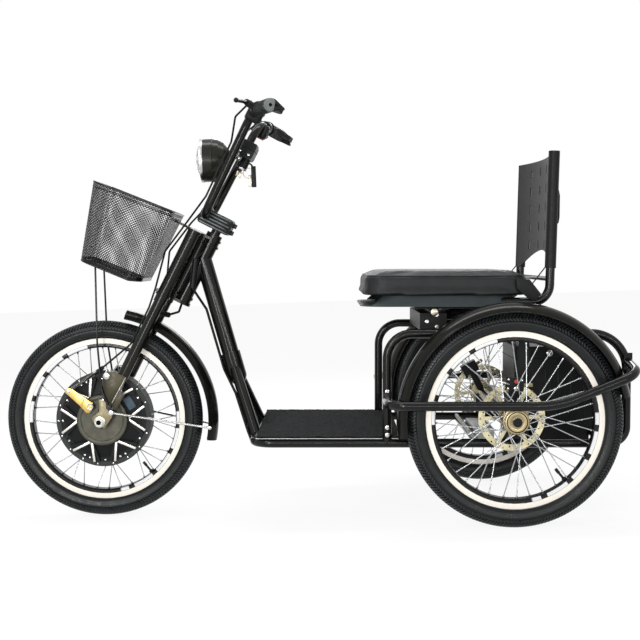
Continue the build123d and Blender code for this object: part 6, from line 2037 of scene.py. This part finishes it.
# ------------------------------------------------------------------ frame fasteners
@dataclass
class FrameDetails:
    """Bolts and small fittings on the frame, seat and battery, along the chassis."""

    guard_x: float = -298.0
    guard_bolts: tuple = (61.0, -26.0, -44.0)
    tube_bolts: tuple = ((-172.0, 213.0), (-172.0, 242.0), (-196.0, 226.0))
    battery_ribs: tuple[float, ...] = (80.0, 112.0, 144.0, 176.0, 208.0)
    battery_half: float = 105.2
    strap: Outline = ((14, 333), (46, 331), (74, 296), (60, 277), (40, 287), (16, 308))
    box: Outline = ((104, 563), (118, 548), (121, 533), (120.5, 480), (118, 466), (104, 462))

    def build(self, finishes: Finishes) -> None:
        """Model and dress the fittings."""
        frame = STANCE.chassis_frame
        places = []
        for side in BOTH:
            out = Vector((0, side.value, 0))
            for z in self.guard_bolts:
                places.append(aim(mm(self.guard_x, side.value * 250.6, z), out))
            for x, z in self.tube_bolts:
                places.append(aim(mm(x, side.value * 175.8, z), out))
        bolts = repeat("frame_bolts", hex_bolt(3.8, 3.0), places)
        fit(bolts, finishes.bright, "frame", frame)
        rail = rod("rail", mm(-182, -150, 252), mm(-182, -212, 252), 4.6, 20, 0.8)
        knob = rod("knob", mm(-182, -210, 252), mm(-182, -224, 252), 9.5, 24, 3.0)
        fit(rail, finishes.bright, "frame", frame)
        fit(knob, finishes.nickel, "frame", frame).name = "slide_knob"
        rail.name = "slide_rail"
        self.battery(finishes, frame)
        self.seat(finishes, frame)

    def battery(self, finishes: Finishes, frame: Matrix) -> None:
        """Lid seam, side grooves, lock and keyway of the battery box."""
        seam = plate("battery_seam", (226.8, 210.8, 2.0), 0.6, moved(145, 0, 128))
        fit(seam, finishes.void, "frame", frame)
        ribs = []
        for side in BOTH:
            for x in self.battery_ribs:
                ribs.append(plate("rib", (7, 1.6, 150), 0.7, moved(x, side.value * self.battery_half, 26)))
        fit(join("battery_ribs", ribs), finishes.case, "frame", frame)
        lock = rod("lock", mm(120, -104, 142), mm(120, -107.5, 142), 8.0, 28, 1.0)
        # Near-black slot on the lock's face: painted shade in the keyway.
        keyway = plate("keyway", (1.6, 1.0, 7), 0.2, moved(120, -107.8, 142))
        fit(lock, finishes.bright, "frame", frame).name = "battery_lock"
        fit(keyway, finishes.void, "frame", frame).name = "battery_keyway_shade"

    def seat(self, finishes: Finishes, frame: Matrix) -> None:
        """Webbing from the cushion's rear corners to the tube bends, thin stays, and the tubes' boxes."""
        straps = [cutout("strap", self.strap, 2.6, 0.6, upright(y)) for y in (-228.6, 231.2)]
        fit(join("seat_straps", straps), finishes.soft_black, "frame", frame)
        stays = []
        for side in BOTH:
            y = side.value * 217
            stays.append(rod("stay", mm(90, y, 366), mm(50, side.value * 226, 316), 1.6, 12))
        fit(join("seat_stays", stays), finishes.hose, "frame", frame)
        boxes = [cutout("box", self.box, 22, 2.0, upright(y)) for y in (-192, 214)]
        fit(join("backrest_boxes", boxes), finishes.case, "frame", frame)


# ------------------------------------------------------------------ run
def main() -> None:
    """Build the vehicle's looks in order."""
    logging.basicConfig(level=logging.INFO, format="%(message)s")
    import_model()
    finishes = Finishes()
    Studio().build()
    front = ((0.026, 0.028, 0.028), 125.0, 0.0, 118.0, (-28.6, 28.6), 18)
    rear = ((0.34, 0.29, 0.18), 33.0, 1.0, 27.5, (-27.6, 27.6))
    wheels = (
        ("front_tyre", "front_rim", "front_wheel", STANCE.front_axle, front),
        ("rear_tyre_left", "rear_rim_left", "rear_wheel_left", STANCE.rear_wheel(Side.LEFT), rear),
        ("rear_tyre_right", "rear_rim_right", "rear_wheel_right", STANCE.rear_wheel(Side.RIGHT), rear),
    )
    for tyre, rim, body, centre, hub in wheels:
        Tyre(tyre, body, centre).build()
        Rim(rim, body, centre, *hub).build(finishes)
    dress_frame(finishes)
    HubMotor().build(finishes)
    DrumBrake().build(finishes)
    RearHubs().build(finishes)
    Cockpit().build(finishes)
    Headlight(STANCE.row(-250.0, 0, 920.9)).build(finishes)
    Mudguards().build(finishes)
    FrameDetails().build(finishes)
    Basket().build(finishes)
    Cushion().build(finishes)
    Mat().build(finishes)


def dress_frame(finishes: Finishes) -> None:
    """Give every kept frame node its finish."""
    nodes = {
        "frame": "main_frame side_loop_left side_loop_right cross_tubes "
                 "rear_axle handlebar fork_crowns backrest_frame basket_stays",
        "guard": "bumper_left bumper_right",
        "fork": "fork_leg_left fork_leg_right",
        "mudguard": "front_mudguard rear_mudguard_left rear_mudguard_right",
        "satin": "seat_bracket backrest_panel brake_calipers brake_levers",
        "pan": "seat_pan",
        "case": "battery_box ignition_box",
        "shell": "headlight_shell",
        "sheet": "floor_plate",
        "carpet": "floor_mat",
        "leather": "seat_cushion",
        "case_alloy": "controller_box",
        "clamp": "handlebar_clamp",
        "grip": "grip_left grip_right",
        "glass": "headlight_lens",
        "soft_black": "basket",
        "hose": "frame_cables steering_cables",
        "motor": "hub_motor",
        "disc": "brake_disc_left brake_disc_right",
    }
    for finish, names in nodes.items():
        finishes.dress(getattr(finishes, finish), *names.split())
    finishes.dress(BrakePlate("brake_plate", STANCE.front_axle).build(), "front_brake")


if __name__ == "__main__":
    main()
